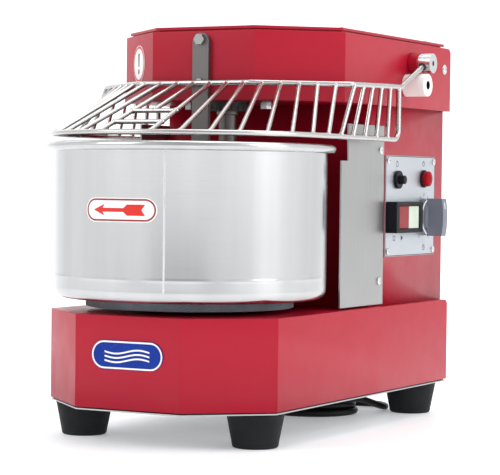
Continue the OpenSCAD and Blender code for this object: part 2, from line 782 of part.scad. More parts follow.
module timer_knob() {
    knob_r = 22.2;
    grip_bow_r = 120;
    color([0.45, 0.46, 0.49]) translate([panel_x, knob_at[0], knob_at[1]]) rotate([0, 90, 0]) {
        translate([0, 0, 1]) cylinder(r1 = knob_r, r2 = knob_r - 1.2, h = 6);
        translate([0, 0, 7]) cylinder(r = 16, h = 2);
        intersection() {
            translate([-knob_r, -6.5, 6.9]) cube([2 * knob_r, 13, 21]);
            translate([0, 0, 27.9 - grip_bow_r]) rotate([90, 0, 0])
                cylinder(r = grip_bow_r, h = 30, center = true, $fn = 360);
        }
        translate([0, 0, -26]) cylinder(r = 3, h = 27.1);
    }
}

// ---------- guard ----------

function fold_point(s) =
    let (a = upper_fold, b = upper_corner, run = norm(b - a))
    s <= a[0] ? [s, a[1]] : a + (b - a) * (s - a[0]) / run;
fold_len = upper_fold[0] + norm(upper_corner - upper_fold);

// Where rod k meets the upper rail and the lower rail, counted from the middle of the front
function upper_point(k) =
    let (side = k < 0 ? -1 : 1, n = abs(k), p = fold_point(min(n, fold_rods) * fold_len / fold_rods),
        step = (guard_end_y - upper_corner[1]) / side_rods)
    [side * p[0], p[1] + max(n - fold_rods, 0) * step, upper_rail_z];
function lower_point(k) =
    let (side = k < 0 ? -1 : 1, n = abs(k), a = min(n, arc_rods) * 90 / arc_rods,
        step = (guard_end_y - lower_y) / (fold_rods + side_rods - arc_rods))
    [side * guard_half_w * sin(a), lower_y - guard_half_w * cos(a) + max(n - arc_rods, 0) * step,
        lower_rail_z];
function along(k, f) = upper_point(k) + (lower_point(k) - upper_point(k)) * f;

ARM_END = [guard_half_w, hinge_y, hinge_z];
ARM_BEND = [guard_half_w, arm_bend[0], arm_bend[1]];
ARM_DIR = (ARM_END - ARM_BEND) / norm(ARM_END - ARM_BEND);

module guard_upper_rail() {
    half = [
        [upper_fold[0], upper_fold[1], upper_rail_z], [upper_corner[0], upper_corner[1], upper_rail_z],
        ARM_BEND, ARM_END - ARM_DIR * (hub_r - 4)
    ];
    flipped = [for (i = [3:-1:0]) [-half[i][0], half[i][1], half[i][2]]];
    color([0.86, 0.87, 0.88]) bent_wire(concat(flipped, half), rail_bend_r, wire_r);
}

module guard_lower_rail() {
    turn_r = 12;
    top = upper_rail_z - wire_r;
    color([0.86, 0.87, 0.88]) union() {
        translate([0, lower_y, lower_rail_z]) rotate([0, 0, 180]) rotate_extrude(angle = 180)
            translate([guard_half_w, 0]) circle(r = wire_r);
        both_sides() {
            bar([guard_half_w, lower_y, lower_rail_z], [guard_half_w, guard_end_y - turn_r, lower_rail_z],
                wire_r);
            translate([guard_half_w, guard_end_y - turn_r, lower_rail_z + turn_r]) rotate([0, 90, 0])
                rotate_extrude(angle = 90) translate([turn_r, 0]) circle(r = wire_r);
            bar([guard_half_w, guard_end_y, lower_rail_z + turn_r], [guard_half_w, guard_end_y, top], wire_r);
        }
    }
}

module guard_rods() {
    last = fold_rods + side_rods - 1;
    color([0.86, 0.87, 0.88]) union() {
        for (k = [-last:last]) if (k != 0) bar(upper_point(k), lower_point(k), rod_r);
        bar(upper_point(0), along(0, crossbars[0]), rod_r);
        for (f = crossbars) bar(along(-1, f), along(1, f), rod_r);
    }
}

module guard_hubs() {
    color([0.80, 0.81, 0.82]) both_sides() difference() {
        translate([0, hinge_y, hinge_z]) rotate([0, 90, 0]) {
            translate([0, 0, hub_in]) cylinder(r = hub_r, h = hub_out - hub_in);
            translate([0, 0, 118]) cylinder(r = pin_r, h = hub_in - 118 + 0.1);
        }
        translate([hub_out - 6, hinge_y, hinge_z]) rotate([0, 90, 0]) cylinder(r = 3, h = 10);
        bar(ARM_BEND, ARM_END - ARM_DIR * (hub_r - 4), wire_r);
        for (x = [hub_in + 4.5, hub_out - 3.5]) translate([x, hinge_y, hinge_z]) rotate([150, 0, 0])
            translate([0, 0, 7.5]) cylinder(r = 1.8, h = 10);
    }
}

module pivot_bosses() {
    color([0.66, 0.15, 0.23]) both_sides() translate([body_w / 2, hinge_y, hinge_z]) rotate([0, 90, 0])
        difference() {
            cylinder(r = boss_r, h = boss_out - body_w / 2);
            translate([0, 0, -1]) cylinder(r = pin_r + run_gap, h = 20);
        }
}

module bumpers() {
    color([0.90, 0.90, 0.88]) both_sides() translate([body_w / 2, bumper_y, bumper_z]) rotate([0, 90, 0])
        difference() {
            cylinder(r = bumper_r, h = outer_x - body_w / 2);
            translate([0, 0, -1]) cylinder(r = 2.6, h = 40);
            translate([0, 0, outer_x - body_w / 2 - 8]) cylinder(r = 5, h = 10);
        }
}

module cross_head_screws() {
    color([0.72, 0.73, 0.74]) {
        for (s = SIDE_SCREWS) pan_screw(s);
        for (s = REAR_SCREWS) pan_screw(s, 4.6, 6);
        for (s = LID_SCREWS) pan_screw(s, 4.6, 8);
        for (s = PANEL_SCREWS) pan_screw(s, 3.8, 5);
        for (s = BUMPER_SCREWS) pan_screw(s, 4.6, 23);
    }
}

// ---------- labels ----------

module stadium(w, h) {
    for (s = [-1, 1]) translate([s * (w - h) / 2, 0]) circle(r = h / 2);
    square([w - h, h], center = true);
}

module badge() {
    color([0.18, 0.36, 0.68]) translate([0, front_y, 96.5]) rotate([90, 0, 0]) linear_extrude(1.2)
        stadium(86, 30);
}

module safety_label() {
    chamfer_mid = [-body_w / 2 + chamfer_x / 2, head_front_y + chamfer_y / 2];
    facing = atan2(-chamfer_x, -chamfer_y);
    color([0.93, 0.93, 0.92]) translate([chamfer_mid[0], chamfer_mid[1], 409]) rotate([0, 0, facing])
        rotate([0, 90, 0]) cylinder(r = 21, h = 0.5);
}

module direction_label() {
    color([0.94, 0.94, 0.93]) intersection() {
        translate([0, bowl_y, 200]) difference() {
            cylinder(r = bowl_r + 0.3, h = 100);
            translate([0, 0, -1]) cylinder(r = bowl_r, h = 102);
        }
        translate([0, bowl_y, 247]) rotate([90, 0, 0]) linear_extrude(bowl_r + 10) stadium(86, 25);
    }
}

// ---------- bowl and spiral ----------

module bowl() {
    rim_z = rim_top - bead_r;
    bend = bowl_bend_r;
    in_r = bowl_r - bowl_t;
    color([0.80, 0.81, 0.82]) translate([0, bowl_y, 0]) rotate_extrude($fn = 96) union() {
        translate([0, bowl_z]) square([bowl_r - bend, bowl_t]);
        translate([in_r, bowl_z + bend]) square([bowl_t, rim_z - bowl_z - bend]);
        intersection() {
            translate([bowl_r - bend, bowl_z + bend]) difference() {
                circle(r = bend);
                circle(r = bend - bowl_t);
            }
            translate([bowl_r - bend, bowl_z]) square([bend, bend]);
        }
        translate([rim_r - bead_r, rim_z]) difference() {
            circle(r = bead_r);
            circle(r = bead_r - bowl_t);
        }
    }
}

module turntable() {
    color([0.55, 0.56, 0.58]) translate([0, bowl_y, 0]) {
        difference() {
            translate([0, 0, turntable_z]) cylinder(r = turntable_r, h = turntable_t);
            translate([0, 0, turntable_z - 1]) difference() {
                cylinder(r = turntable_r - 8, h = turntable_t - 3);
                translate([0, 0, -1]) cylinder(r = 30, h = 20);
            }
        }
        translate([0, 0, 54]) cylinder(r = shaft_r, h = turntable_z - 54 + 0.1);
    }
}

// Middle line of the spiral's rod: out from the shaft, round the axis and down to the bowl's floor
spiral_steps = 72;
spiral_sides = 20;
spiral_drop = 118;
spiral_low = bowl_z + bowl_t + 2.5 + spiral_rod_r;
spiral_lead = 22;
function spiral_reach(t) = spiral_r * sin(90 * min(t / 0.18, 1));
function spiral_point(t) =
    let (a = -90 - 500 * t, r = t < 0 ? 0 : spiral_reach(t))
    [r * cos(a), spiral_y + r * sin(a), spiral_low + (t < 0 ? spiral_drop - t * spiral_lead * 10
        : spiral_drop * (1 - t) * (1 + 0.35 * t))];
function unit(v) = v / norm(v);
function spiral_ring(t) =
    let (a = -90 - 500 * t, d = unit(spiral_point(t + 0.004) - spiral_point(t - 0.004)),
        out = [cos(a), sin(a), 1.2], n = unit(out - (out * d) * d), b = cross(d, n))
    [for (j = [0:spiral_sides - 1]) let (q = j * 360 / spiral_sides)
        spiral_point(t) + spiral_rod_r * (cos(q) * n + sin(q) * b)];

module spiral_hook() {
    ts = [for (i = [0:spiral_steps]) (i - 4) / (spiral_steps - 4)];
    rings = [for (t = ts) each spiral_ring(t)];
    m = spiral_sides;
    sides = [
        for (i = [0:spiral_steps - 1], j = [0:m - 1])
            [i * m + j, i * m + (j + 1) % m, (i + 1) * m + (j + 1) % m, (i + 1) * m + j]
    ];
    color([0.72, 0.73, 0.74]) polyhedron(rings, concat(
        sides, [[for (j = [m - 1:-1:0]) j], [for (j = [0:m - 1]) spiral_steps * m + j]]
    ));
}

module spiral_shaft() {
    low = spiral_point(-4 / (spiral_steps - 4))[2];
    color([0.70, 0.71, 0.72]) translate([0, spiral_y, 0]) {
        translate([0, 0, low]) cylinder(r = 10, h = head_z - 14 - low);
        translate([0, 0, head_z - 14.1]) cylinder(r = shaft_r, h = belt_z + belt_h + 4 - head_z + 14.1);
        translate([0, 0, belt_z]) pulley(spiral_pulley_r, shaft_r - 0.5, 6);
    }
}

// ---------- power cord ----------

module cable_gland() {
    color([0.08, 0.08, 0.09]) difference() {
        union() {
            translate([gland_at[0], gland_at[1], floor_z - 4]) cylinder(r = 11, h = 4);
            translate([gland_at[0], gland_at[1], floor_z - 0.1]) cylinder(r = 7.9, h = floor_t + 12);
            translate([gland_at[0], gland_at[1], floor_z + floor_t]) cylinder(r = 11, h = 5, $fn = 6);
            intersection() {
                translate(sleeve_end) rotate([0, -45, 0]) cylinder(r1 = 5, r2 = 7, h = sleeve_len);
                translate([gland_at[0] - 20, gland_at[1] - 20, 0]) cube([60, 40, floor_z - 2]);
            }
        }
        translate([gland_at[0], gland_at[1], floor_z - 3]) cylinder(r = cord_r - 0.5, h = 30);
    }
}

// Tube swept along a route that is never upright, with a ring at each of its points
module cord(route) {
    sides = 12;
    last = len(route) - 1;
    rings = [
        for (i = [0:last]) let (
            way = unit(route[min(i + 1, last)] - route[max(i - 1, 0)]),
            across = unit(cross(way, [0, 0, 1])),
            up = cross(across, way)
        ) for (j = [0:sides - 1]) let (q = j * 360 / sides)
            route[i] + cord_r * (cos(q) * across + sin(q) * up)
    ];
    walls = [
        for (i = [0:last - 1], j = [0:sides - 1])
            [
                i * sides + j, i * sides + (j + 1) % sides,
                (i + 1) * sides + (j + 1) % sides, (i + 1) * sides + j
            ]
    ];
    color([0.06, 0.06, 0.07]) polyhedron(rings, concat(
        walls, [[for (j = [sides - 1:-1:0]) j], [for (j = [0:sides - 1]) last * sides + j]]
    ));
}

module cord_lead() { cord(LEAD); }
module cord_tail() { cord(TAIL); }

module cord_coil() {
    color([0.06, 0.06, 0.07]) translate([coil_at[0], coil_at[1], 0]) difference() {
        cylinder(r = coil_outer, h = coil_h);
        translate([0, 0, -1]) cylinder(r = coil_inner, h = coil_h + 2);
    }
}

module plug_body() {
    color([0.08, 0.08, 0.09]) translate([plug_at[0], plug_at[1], 0]) rotate(plug_angle) union() {
        translate([0, 0, cord_r]) rotate([0, 90, 0]) intersection() {
            cylinder(r1 = 4.6, r2 = 8, h = plug_neck);
            translate([-20, -20, 0]) cube([20 + cord_r, 40, 30]);
        }
        translate([plug_neck - 2, 0, 0]) linear_extrude(19) polygon([
            [0, -8], [10, -13], [plug_len - plug_neck, -15], [plug_len - plug_neck + 2, -15],
            [plug_len - plug_neck + 2, 15], [plug_len - plug_neck, 15], [10, 13], [0, 8]
        ]);
    }
}

module plug_pins() {
    color([0.8, 0.8, 0.78]) translate([plug_at[0], plug_at[1], 0]) rotate(plug_angle)
        for (s = [-1, 1]) translate([plug_len, s * 9.5, 9.5]) rotate([0, 90, 0]) union() {
            cylinder(r = 2.4, h = 17);
            translate([0, 0, 17]) sphere(r = 2.4);
        }
}

base_shell();
base_gasket();
floor_plate();
foot_front_left();
foot_front_right();
foot_rear_left();
foot_rear_right();
foot_bolts();
column_shell();
rear_cover();
cross_head_screws();
side_guards();
head_shell();
head_lid();
drive_plate();
breaker_bar();
hex_bolts();
spiral_bearing_housing();
base_casting();
shaft_bearings();
gearbox_housing();
motor_body();
motor_fan_cover();
contactor();
guard_switch();
spiral_belt();
bowl_belt();
control_panel();
reset_bezel();
lamp_bezel();
lamp_lens();
switch_housing();
timer_body();
pivot_bosses();
bumpers();
badge();
safety_label();
cable_gland();
cord_lead();
cord_tail();
cord_coil();
plug_body();
plug_pins();
bowl();
turntable();
bowl_pulley();
direction_label();
spiral_hook();
spiral_shaft();
drive_shaft();
drive_gear();
motor_rotor();
guard_upper_rail();
guard_lower_rail();
guard_rods();
guard_hubs();
reset_button();
start_button();
stop_button();
timer_knob();
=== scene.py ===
"""Looks of a bench-top spiral dough mixer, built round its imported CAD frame."""

import json
import math

import bmesh
import bpy
from mathutils import Matrix, Vector


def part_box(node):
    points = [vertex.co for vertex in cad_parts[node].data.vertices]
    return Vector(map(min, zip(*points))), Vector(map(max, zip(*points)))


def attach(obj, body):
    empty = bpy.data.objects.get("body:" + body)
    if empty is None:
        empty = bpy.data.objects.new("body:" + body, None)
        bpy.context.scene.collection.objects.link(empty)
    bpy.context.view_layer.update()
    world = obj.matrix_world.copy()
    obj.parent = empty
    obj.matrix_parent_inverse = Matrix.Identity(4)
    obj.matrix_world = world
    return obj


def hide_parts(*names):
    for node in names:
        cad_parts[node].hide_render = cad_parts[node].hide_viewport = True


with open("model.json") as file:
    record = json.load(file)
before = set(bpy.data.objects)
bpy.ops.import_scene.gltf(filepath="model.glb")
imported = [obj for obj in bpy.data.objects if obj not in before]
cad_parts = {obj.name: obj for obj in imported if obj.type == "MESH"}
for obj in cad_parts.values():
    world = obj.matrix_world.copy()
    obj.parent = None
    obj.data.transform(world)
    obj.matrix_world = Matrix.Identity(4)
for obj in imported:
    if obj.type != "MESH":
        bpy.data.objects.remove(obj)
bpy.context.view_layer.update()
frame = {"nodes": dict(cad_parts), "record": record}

MM = 0.001

# ---------- where things are, from the frame ----------


def box_of(node):
    """Low and high corner of a CAD node's box."""
    return [Vector(corner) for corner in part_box(node)]


def middle(node):
    """Centre of a CAD node's box."""
    low, high = box_of(node)
    return (low + high) / 2


BASE_LOW, BASE_HIGH = box_of("base_shell")
HEAD_LOW, HEAD_HIGH = box_of("head_shell")
COLUMN_LOW, COLUMN_HIGH = box_of("column_shell")
BOWL_LOW, BOWL_HIGH = box_of("bowl")
PANEL_LOW, PANEL_HIGH = box_of("control_panel")
BOWL_Y = (BOWL_LOW.y + BOWL_HIGH.y) / 2
CHAMFER = (76 * MM, 68 * MM)
SHEET = 2 * MM
BOWL_R = 148 * MM
BOWL_T = 1.5 * MM
BEAD_R = 5 * MM

# ---------- camera ----------

CAMERA_AT = (1.1035, -2.0366, 0.2761)
CAMERA_AZIMUTH = 28.2
CAMERA_ELEVATION = 1.53
CAMERA_ROLL = 0.68
CAMERA_LENS = 146.8


def add_camera():
    """Stands before the object and to its right, level with the bowl."""
    azimuth = math.radians(CAMERA_AZIMUTH)
    elevation = math.radians(CAMERA_ELEVATION)
    roll = math.radians(CAMERA_ROLL)
    side = Vector((math.cos(azimuth), math.sin(azimuth), 0))
    back = Vector((math.sin(azimuth) * math.cos(elevation), -math.cos(azimuth) * math.cos(elevation),
                   math.sin(elevation)))
    up = back.cross(side)
    across = side * math.cos(roll) + up * math.sin(roll)
    upright = up * math.cos(roll) - side * math.sin(roll)
    camera = bpy.data.objects.new("camera", bpy.data.cameras.new("camera"))
    camera.data.lens = CAMERA_LENS
    camera.data.sensor_width = 36
    camera.data.clip_end = 50
    turned = Matrix((across, upright, back)).transposed().to_4x4()
    camera.matrix_world = Matrix.Translation(CAMERA_AT) @ turned
    bpy.context.scene.collection.objects.link(camera)
    bpy.context.scene.camera = camera


add_camera()

# ---------- materials ----------

# Noise between these values makes up most of its range
NOISE_MIDDLE = (0.3, 0.7)


class Shader:
    """A Principled material, whose even values sit on its sockets and whose varied ones come from noise."""

    def __init__(self, name, color, roughness, metallic=0.0, **values):
        self.material = bpy.data.materials.new(name)
        self.material.use_nodes = True
        self.nodes = self.material.node_tree.nodes
        self.links = self.material.node_tree.links
        self.main = self.nodes["Principled BSDF"]
        self.color = color
        self.set("Base Color", (*color, 1))
        self.set("Roughness", roughness)
        self.set("Metallic", metallic)
        for socket, value in values.items():
            self.set(socket.replace("_", " "), value)
        self.material.diffuse_color = (*color, 1)

    def set(self, socket, value):
        """Puts an even value on one of the shader's sockets."""
        self.main.inputs[socket].default_value = value

    def add(self, kind, **values):
        """Adds a node, with values for its sockets or its settings."""
        node = self.nodes.new(kind)
        for name, value in values.items():
            if name in node.inputs:
                node.inputs[name].default_value = value
            else:
                setattr(node, name, value)
        return node

    def place(self, stretch):
        """Object coordinates, stretched."""
        coordinates = self.add("ShaderNodeTexCoord")
        mapping = self.add("ShaderNodeMapping")
        mapping.inputs["Scale"].default_value = stretch
        self.links.new(coordinates.outputs["Object"], mapping.inputs["Vector"])
        return mapping.outputs["Vector"]

    def noise(self, scale, detail=2.0, stretch=(1, 1, 1)):
        """Noise over the object, with its grain stretched by axis."""
        node = self.add("ShaderNodeTexNoise", Scale=scale, Detail=detail)
        self.links.new(self.place(stretch), node.inputs["Vector"])
        return node.outputs["Fac"]

    def spread(self, value, low, high):
        """Maps the middle of a noise to a range."""
        node = self.add("ShaderNodeMapRange")
        for socket, number in zip(("From Min", "From Max", "To Min", "To Max"), (*NOISE_MIDDLE, low, high)):
            node.inputs[socket].default_value = number
        self.links.new(value, node.inputs["Value"])
        return node.outputs["Result"]

    def tone(self, value, other, amount):
        """Mixes the base colour towards another one where value is high."""
        node = self.add("ShaderNodeMix", data_type="RGBA")
        node.inputs["A"].default_value = (*self.color, 1)
        node.inputs["B"].default_value = (*other, 1)
        self.links.new(self.spread(value, 0, amount), node.inputs["Factor"])
        self.links.new(node.outputs["Result"], self.main.inputs["Base Color"])

    def rough(self, value, low, high):
        """Varies the roughness."""
        self.links.new(self.spread(value, low, high), self.main.inputs["Roughness"])

    def bump(self, value, height, strength):
        """Relief with a height in metres."""
        node = self.add("ShaderNodeBump", Strength=strength, Distance=height)
        self.links.new(value, node.inputs["Height"])
        self.links.new(node.outputs["Normal"], self.main.inputs["Normal"])


def powder_coat(name, color):
    """Semi-gloss oven-baked powder: an even colour with a fine orange peel."""
    s = Shader(name, color, 0.36, Specular_IOR_Level=0.26)
    s.tone(s.noise(9, 3), [c * 0.94 for c in color], 0.6)
    s.rough(s.noise(40, 2), 0.31, 0.38)
    s.bump(s.noise(700, 2), 0.04 * MM, 0.25)
    return s.material


def brushed(name, color, roughness, along, grain=900):
    """Metal with fine scratches along one axis."""
    stretch = [grain] * 3
    stretch[along] = 12
    s = Shader(name, color, roughness, 1.0, Anisotropic=0.4)
    lines = s.noise(1.0, 3, stretch)
    s.rough(lines, roughness * 0.82, roughness * 1.25)
    s.tone(s.noise(14, 3), [c * 0.93 for c in color], 0.7)
    s.bump(lines, 0.02 * MM, 0.5)
    return s.material


def polished(name, color, roughness):
    """Bright metal with hardly any grain."""
    s = Shader(name, color, roughness, 1.0)
    s.rough(s.noise(60, 3), roughness * 0.8, roughness * 1.35)
    s.bump(s.noise(500, 2), 0.01 * MM, 0.3)
    return s.material


def spun(name, color, roughness):
    """Sheet steel spun and polished, with faint rings round the upright axis."""
    s = Shader(name, color, roughness, 1.0)
    rings = s.noise(1.0, 3, (6, 6, 2400))
    s.rough(rings, roughness * 0.85, roughness * 1.2)
    s.tone(s.noise(1.0, 2, (38, 38, 1)), [c * 0.88 for c in color], 0.9)
    s.bump(rings, 0.01 * MM, 0.35)
    return s.material


def moulded(name, color, roughness, grain=1600, height=0.04 * MM, specular=0.5):
    """Moulded plastic or rubber with a fine spark-eroded grain."""
    s = Shader(name, color, roughness, Specular_IOR_Level=specular)
    s.tone(s.noise(30, 3), [min(c * 1.25 + 0.004, 1) for c in color], 0.5)
    s.rough(s.noise(80, 2), roughness * 0.88, min(roughness * 1.12, 1))
    s.bump(s.noise(grain, 2), height, 0.5)
    return s.material


def cast(name, color, metallic=0.6):
    """Painted or bare casting with a sandy skin."""
    s = Shader(name, color, 0.55, metallic)
    s.tone(s.noise(60, 4), [c * 0.75 for c in color], 0.8)
    s.rough(s.noise(120, 3), 0.45, 0.7)
    s.bump(s.noise(450, 4), 0.25 * MM, 0.5)
    return s.material


def lamp_red(name, color):
    """Deep red plastic cap of a lamp, with a soft sheen and a faint mottling."""
    s = Shader(name, color, 0.2, Specular_IOR_Level=0.05)
    s.rough(s.noise(90, 2), 0.16, 0.24)
    s.tone(s.noise(220, 1), [min(c * 1.2, 1) for c in color], 0.5)
    return s.material


def printed(name, color):
    """Printed or vinyl film with a slight unevenness."""
    s = Shader(name, color, 0.4)
    s.rough(s.noise(150, 2), 0.34, 0.46)
    s.tone(s.noise(40, 2), [c * 0.95 for c in color], 0.6)
    return s.material


CRIMSON = (0.405, 0.006, 0.024)
SLOT_MATERIALS = {
    "painted_steel": powder_coat("powder_coat_crimson", CRIMSON),
    "stainless": brushed("stainless_sheet", (0.42, 0.42, 0.42), 0.36, 2),
    "polished_steel": spun("spun_steel", (0.60, 0.61, 0.615), 0.2),
    "guard_wire": polished("bright_wire", (0.56, 0.55, 0.54), 0.22),
    "zinc_plate": brushed("zinc_sheet", (0.50, 0.51, 0.52), 0.34, 0),
    "fastener": polished("zinc_plated_screw", (0.70, 0.70, 0.70), 0.2),
    "rubber": moulded("black_rubber", (0.008, 0.009, 0.011), 0.6, 900, 0.06 * MM, 0.18),
    "machine_steel": brushed("turned_steel", (0.42, 0.43, 0.45), 0.34, 2, 700),
    "cast_iron": cast("iron_casting", (0.16, 0.17, 0.19)),
    "motor_paint": cast("motor_paint", (0.05, 0.06, 0.075)),
    "panel": brushed("panel_aluminium", (0.58, 0.61, 0.65), 0.42, 1),
    "black_plastic": moulded("black_plastic", (0.008, 0.009, 0.012), 0.38, specular=0.12),
    "grey_plastic": moulded("grey_plastic", (0.15, 0.165, 0.20), 0.36),
    "white_nylon": moulded("white_nylon", (0.88, 0.87, 0.85), 0.42),
    "red_lens": lamp_red("red_lens", (0.31, 0.006, 0.012)),
    "red_plastic": moulded("red_plastic", (0.24, 0.012, 0.016), 0.35, specular=0.3),
    "green_plastic": moulded("pale_green_plastic", (0.50, 0.56, 0.48), 0.4, specular=0.3),
    "badge_enamel": moulded("blue_enamel", (0.004, 0.030, 0.26), 0.25, 300, 0.01 * MM, 0.15),
    "label": printed("white_vinyl", (0.86, 0.86, 0.85)),
    "cord_rubber": moulded("cord_rubber", (0.005, 0.005, 0.006), 0.42, 1200, specular=0.2),
    "brass": polished("plated_brass", (0.75, 0.66, 0.45), 0.2),
    "contactor_plastic": moulded("contactor_plastic", (0.66, 0.66, 0.62), 0.45),
}
PRINT_RED = printed("print_red", (0.66, 0.016, 0.008))
PRINT_DARK_RED = printed("print_dark_red", (0.30, 0.02, 0.02))
PRINT_GREY = printed("print_grey", (0.16, 0.16, 0.17))
PRINT_BLACK = printed("print_black", (0.03, 0.03, 0.035))
PRINT_WHITE = printed("print_white", (0.88, 0.88, 0.88))
BREAKER_STEEL = brushed("breaker_steel", (0.20, 0.19, 0.185), 0.4, 2)
HUB_STEEL = polished("turned_hub", (0.66, 0.66, 0.66), 0.24)
BOLT_STEEL = polished("bolt_steel", (0.42, 0.42, 0.42), 0.22)
SHAFT_STEEL = brushed("dull_shaft", (0.20, 0.185, 0.175), 0.4, 2)
SEAM_STEEL = polished("seam_steel", (0.80, 0.80, 0.80), 0.3)
DARK_STEEL = polished("dark_steel", (0.12, 0.12, 0.13), 0.3)
BEARING_IRON = cast("bearing_iron", (0.10, 0.095, 0.10))
TURNTABLE_IRON = cast("turntable_iron", (0.20, 0.24, 0.27), 0.25)
NODE_SLOT = {part["node"]: part["material_slot"] for part in frame["record"]["subparts"]}
NODE_BODY = {node: body for body, nodes in frame["record"]["behaviour"]["bodies"].items() for node in nodes}

for node, slot in NODE_SLOT.items():
    mesh = frame["nodes"][node].data
    mesh.materials.clear()
    mesh.materials.append(SLOT_MATERIALS[slot])

# ---------- making pieces ----------

SAME_SPOT = 0.002 * MM
SAME_PLANE = math.radians(0.6)
HARD_EDGE = math.radians(30)
ROUND_STEPS = 2
WIRE_BEND_STEPS = 10
NEARLY_STRAIGHT = math.radians(89)


def piece(name, mesh, body, slot, replaced=(), material=None):
    """Adds a mesh to the scene as a piece on a body, with the finish of a record slot."""
    thing = bpy.data.objects.new(name, mesh)
    bpy.context.scene.collection.objects.link(thing)
    mesh.materials.clear()
    mesh.materials.append(material or SLOT_MATERIALS[slot])
    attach(thing, body)
    if replaced:
        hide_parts(*replaced)
    return thing


def to_mesh(name, work, smooth_angle=35):
    """Turns a bmesh into a mesh with outward faces, smooth up to an angle."""
    bmesh.ops.recalc_face_normals(work, faces=work.faces)
    mesh = bpy.data.meshes.new(name)
    work.to_mesh(mesh)
    work.free()
    mesh.shade_smooth()
    mesh.set_sharp_from_angle(angle=math.radians(smooth_angle))
    return mesh


def add_bevel(thing, width):
    """Rounds a piece's hard edges."""
    rounding = thing.modifiers.new("rounding", "BEVEL")
    rounding.width = width
    rounding.segments = ROUND_STEPS
    rounding.limit_method = "ANGLE"
    rounding.angle_limit = HARD_EDGE
    return thing


def refined(node, width, material=None):
    """A copy of a CAD node with clean faces and rounded edges, which stands for it."""
    work = bmesh.new()
    work.from_mesh(frame["nodes"][node].data)
    bmesh.ops.remove_doubles(work, verts=work.verts, dist=SAME_SPOT)
    bmesh.ops.dissolve_limit(work, angle_limit=SAME_PLANE, verts=work.verts, edges=work.edges)
    mesh = to_mesh(node + "_finish", work)
    slot = NODE_SLOT[node]
    thing = piece(node + "_finish", mesh, NODE_BODY[node], slot, [node], material)
    return add_bevel(thing, width)


def join_rings(work, rings):
    """Faces between each closed ring of points and the next; a ring on the axis repeats one point."""
    for a, b in zip(rings, rings[1:]):
        for i in range(len(a)):
            j = (i + 1) % len(a)
            work.faces.new(list(dict.fromkeys((a[i], a[j], b[j], b[i]))))


def spin(work, profile, matrix, segments):
    """Adds a surface turned from (radius, height) points, closed unless its ends are on the axis."""
    rings = []
    for radius, height in profile:
        if radius == 0:
            rings.append([work.verts.new(matrix @ Vector((0, 0, height)))] * segments)
            continue
        ring = []
        for i in range(segments):
            angle = 2 * math.pi * i / segments
            spot = Vector((radius * math.cos(angle), radius * math.sin(angle), height))
            ring.append(work.verts.new(matrix @ spot))
        rings.append(ring)
    closed = profile[0][0] > 0 and profile[-1][0] > 0
    join_rings(work, rings + rings[:1] if closed else rings)


def revolved(name, profile, centre, segments, smooth_angle=35):
    """Mesh turned round an upright axis through a centre."""
    work = bmesh.new()
    spin(work, profile, Matrix.Translation(centre), segments)
    return to_mesh(name, work, smooth_angle)


def arc(centre, radius, start, end, steps):
    """Points along an arc, with angles in degrees."""
    angles = [math.radians(start + (end - start) * i / steps) for i in range(steps + 1)]
    return [(centre[0] + radius * math.cos(a), centre[1] + radius * math.sin(a)) for a in angles]


def sweep(work, points, radius, segments):
    """Adds a round wire along points, with its ends capped."""
    last = len(points) - 1
    rings = []
    across = None
    for i, point in enumerate(points):
        way = (points[min(i + 1, last)] - points[max(i - 1, 0)]).normalized()
        if across is None:
            across = way.orthogonal().normalized()
        across = (across - way * across.dot(way)).normalized()
        other = way.cross(across)
        rings.append([
            work.verts.new(point + radius * (math.cos(a) * across + math.sin(a) * other))
            for a in (2 * math.pi * j / segments for j in range(segments))
        ])
    join_rings(work, rings)
    work.faces.new(rings[0])
    work.faces.new(rings[-1])


def rounded(points, radius):
    """A polyline with its inner corners bent to a radius."""
    path = [points[0]]
    for before, corner, after in zip(points, points[1:], points[2:]):
        a = (before - corner).normalized()
        b = (after - corner).normalized()
        half = a.angle(b) / 2
        if half > NEARLY_STRAIGHT:
            path.append(corner)
            continue
        reach = radius / math.tan(half)
        centre = corner + (a + b).normalized() * (radius / math.sin(half))
        start, end = corner + a * reach - centre, corner + b * reach - centre
        for i in range(WIRE_BEND_STEPS + 1):
            share = i / WIRE_BEND_STEPS
            way = start if share == 0 else end if share == 1 else start.slerp(end, share)
            path.append(centre + way.normalized() * radius)
    return path + [points[-1]]


def smooth_path(points, steps):
    """Points along a smooth curve through the given ones."""
    path = []
    for i in range(len(points) - 1):
        a, b = points[i], points[i + 1]
        before = points[i - 1] if i else a * 2 - b
        after = points[i + 2] if i + 2 < len(points) else b * 2 - a
        for k in range(steps):
            t = k / steps
            path.append(0.5 * (2 * a + (b - before) * t + (2 * before - 5 * a + 4 * b - after) * t ** 2
                               + (3 * a - before - 3 * b + after) * t ** 3))
    return path + [points[-1]]


# ---------- power cord ----------

CORD_R = 4 * MM
COIL_AT = Vector((10, 169)) * MM
COIL_TURN_R = 53 * MM
COIL_PITCH = 8.05 * MM
COIL_START = -90
COIL_TURNS = 2.472
COIL_STEP = 10
COIL_CLIMB = 160
CORD_STEPS = 3
LEAD = [
    (-65, 116, 22), (-58.5, 116, 15.5), (-50.5, 116, 9.5), (-41, 116, 5.5), (-31, 116, 4),
    (-19, 116, 4), (-7, 116, 4),
]
TAIL = [
    (-8, 119, 12), (5, 115.8, 13.4), (18.5, 116.6, 15.8), (31.5, 121.8, 17.9), (42.5, 130.3, 19.4),
    (51, 140.5, 20), (57, 152, 20), (61, 164, 20), (64.2, 177, 19), (67.2, 190, 16.7),
    (70.2, 204, 12.9), (72.8, 218, 8.7), (74.2, 232.1, 5.6), (71.7, 244.8, 4.2), (64.7, 255.7, 4),
    (54, 263.2, 4), (41.4, 266.1, 4), (28.6, 264, 4), (23, 262, 4),
]


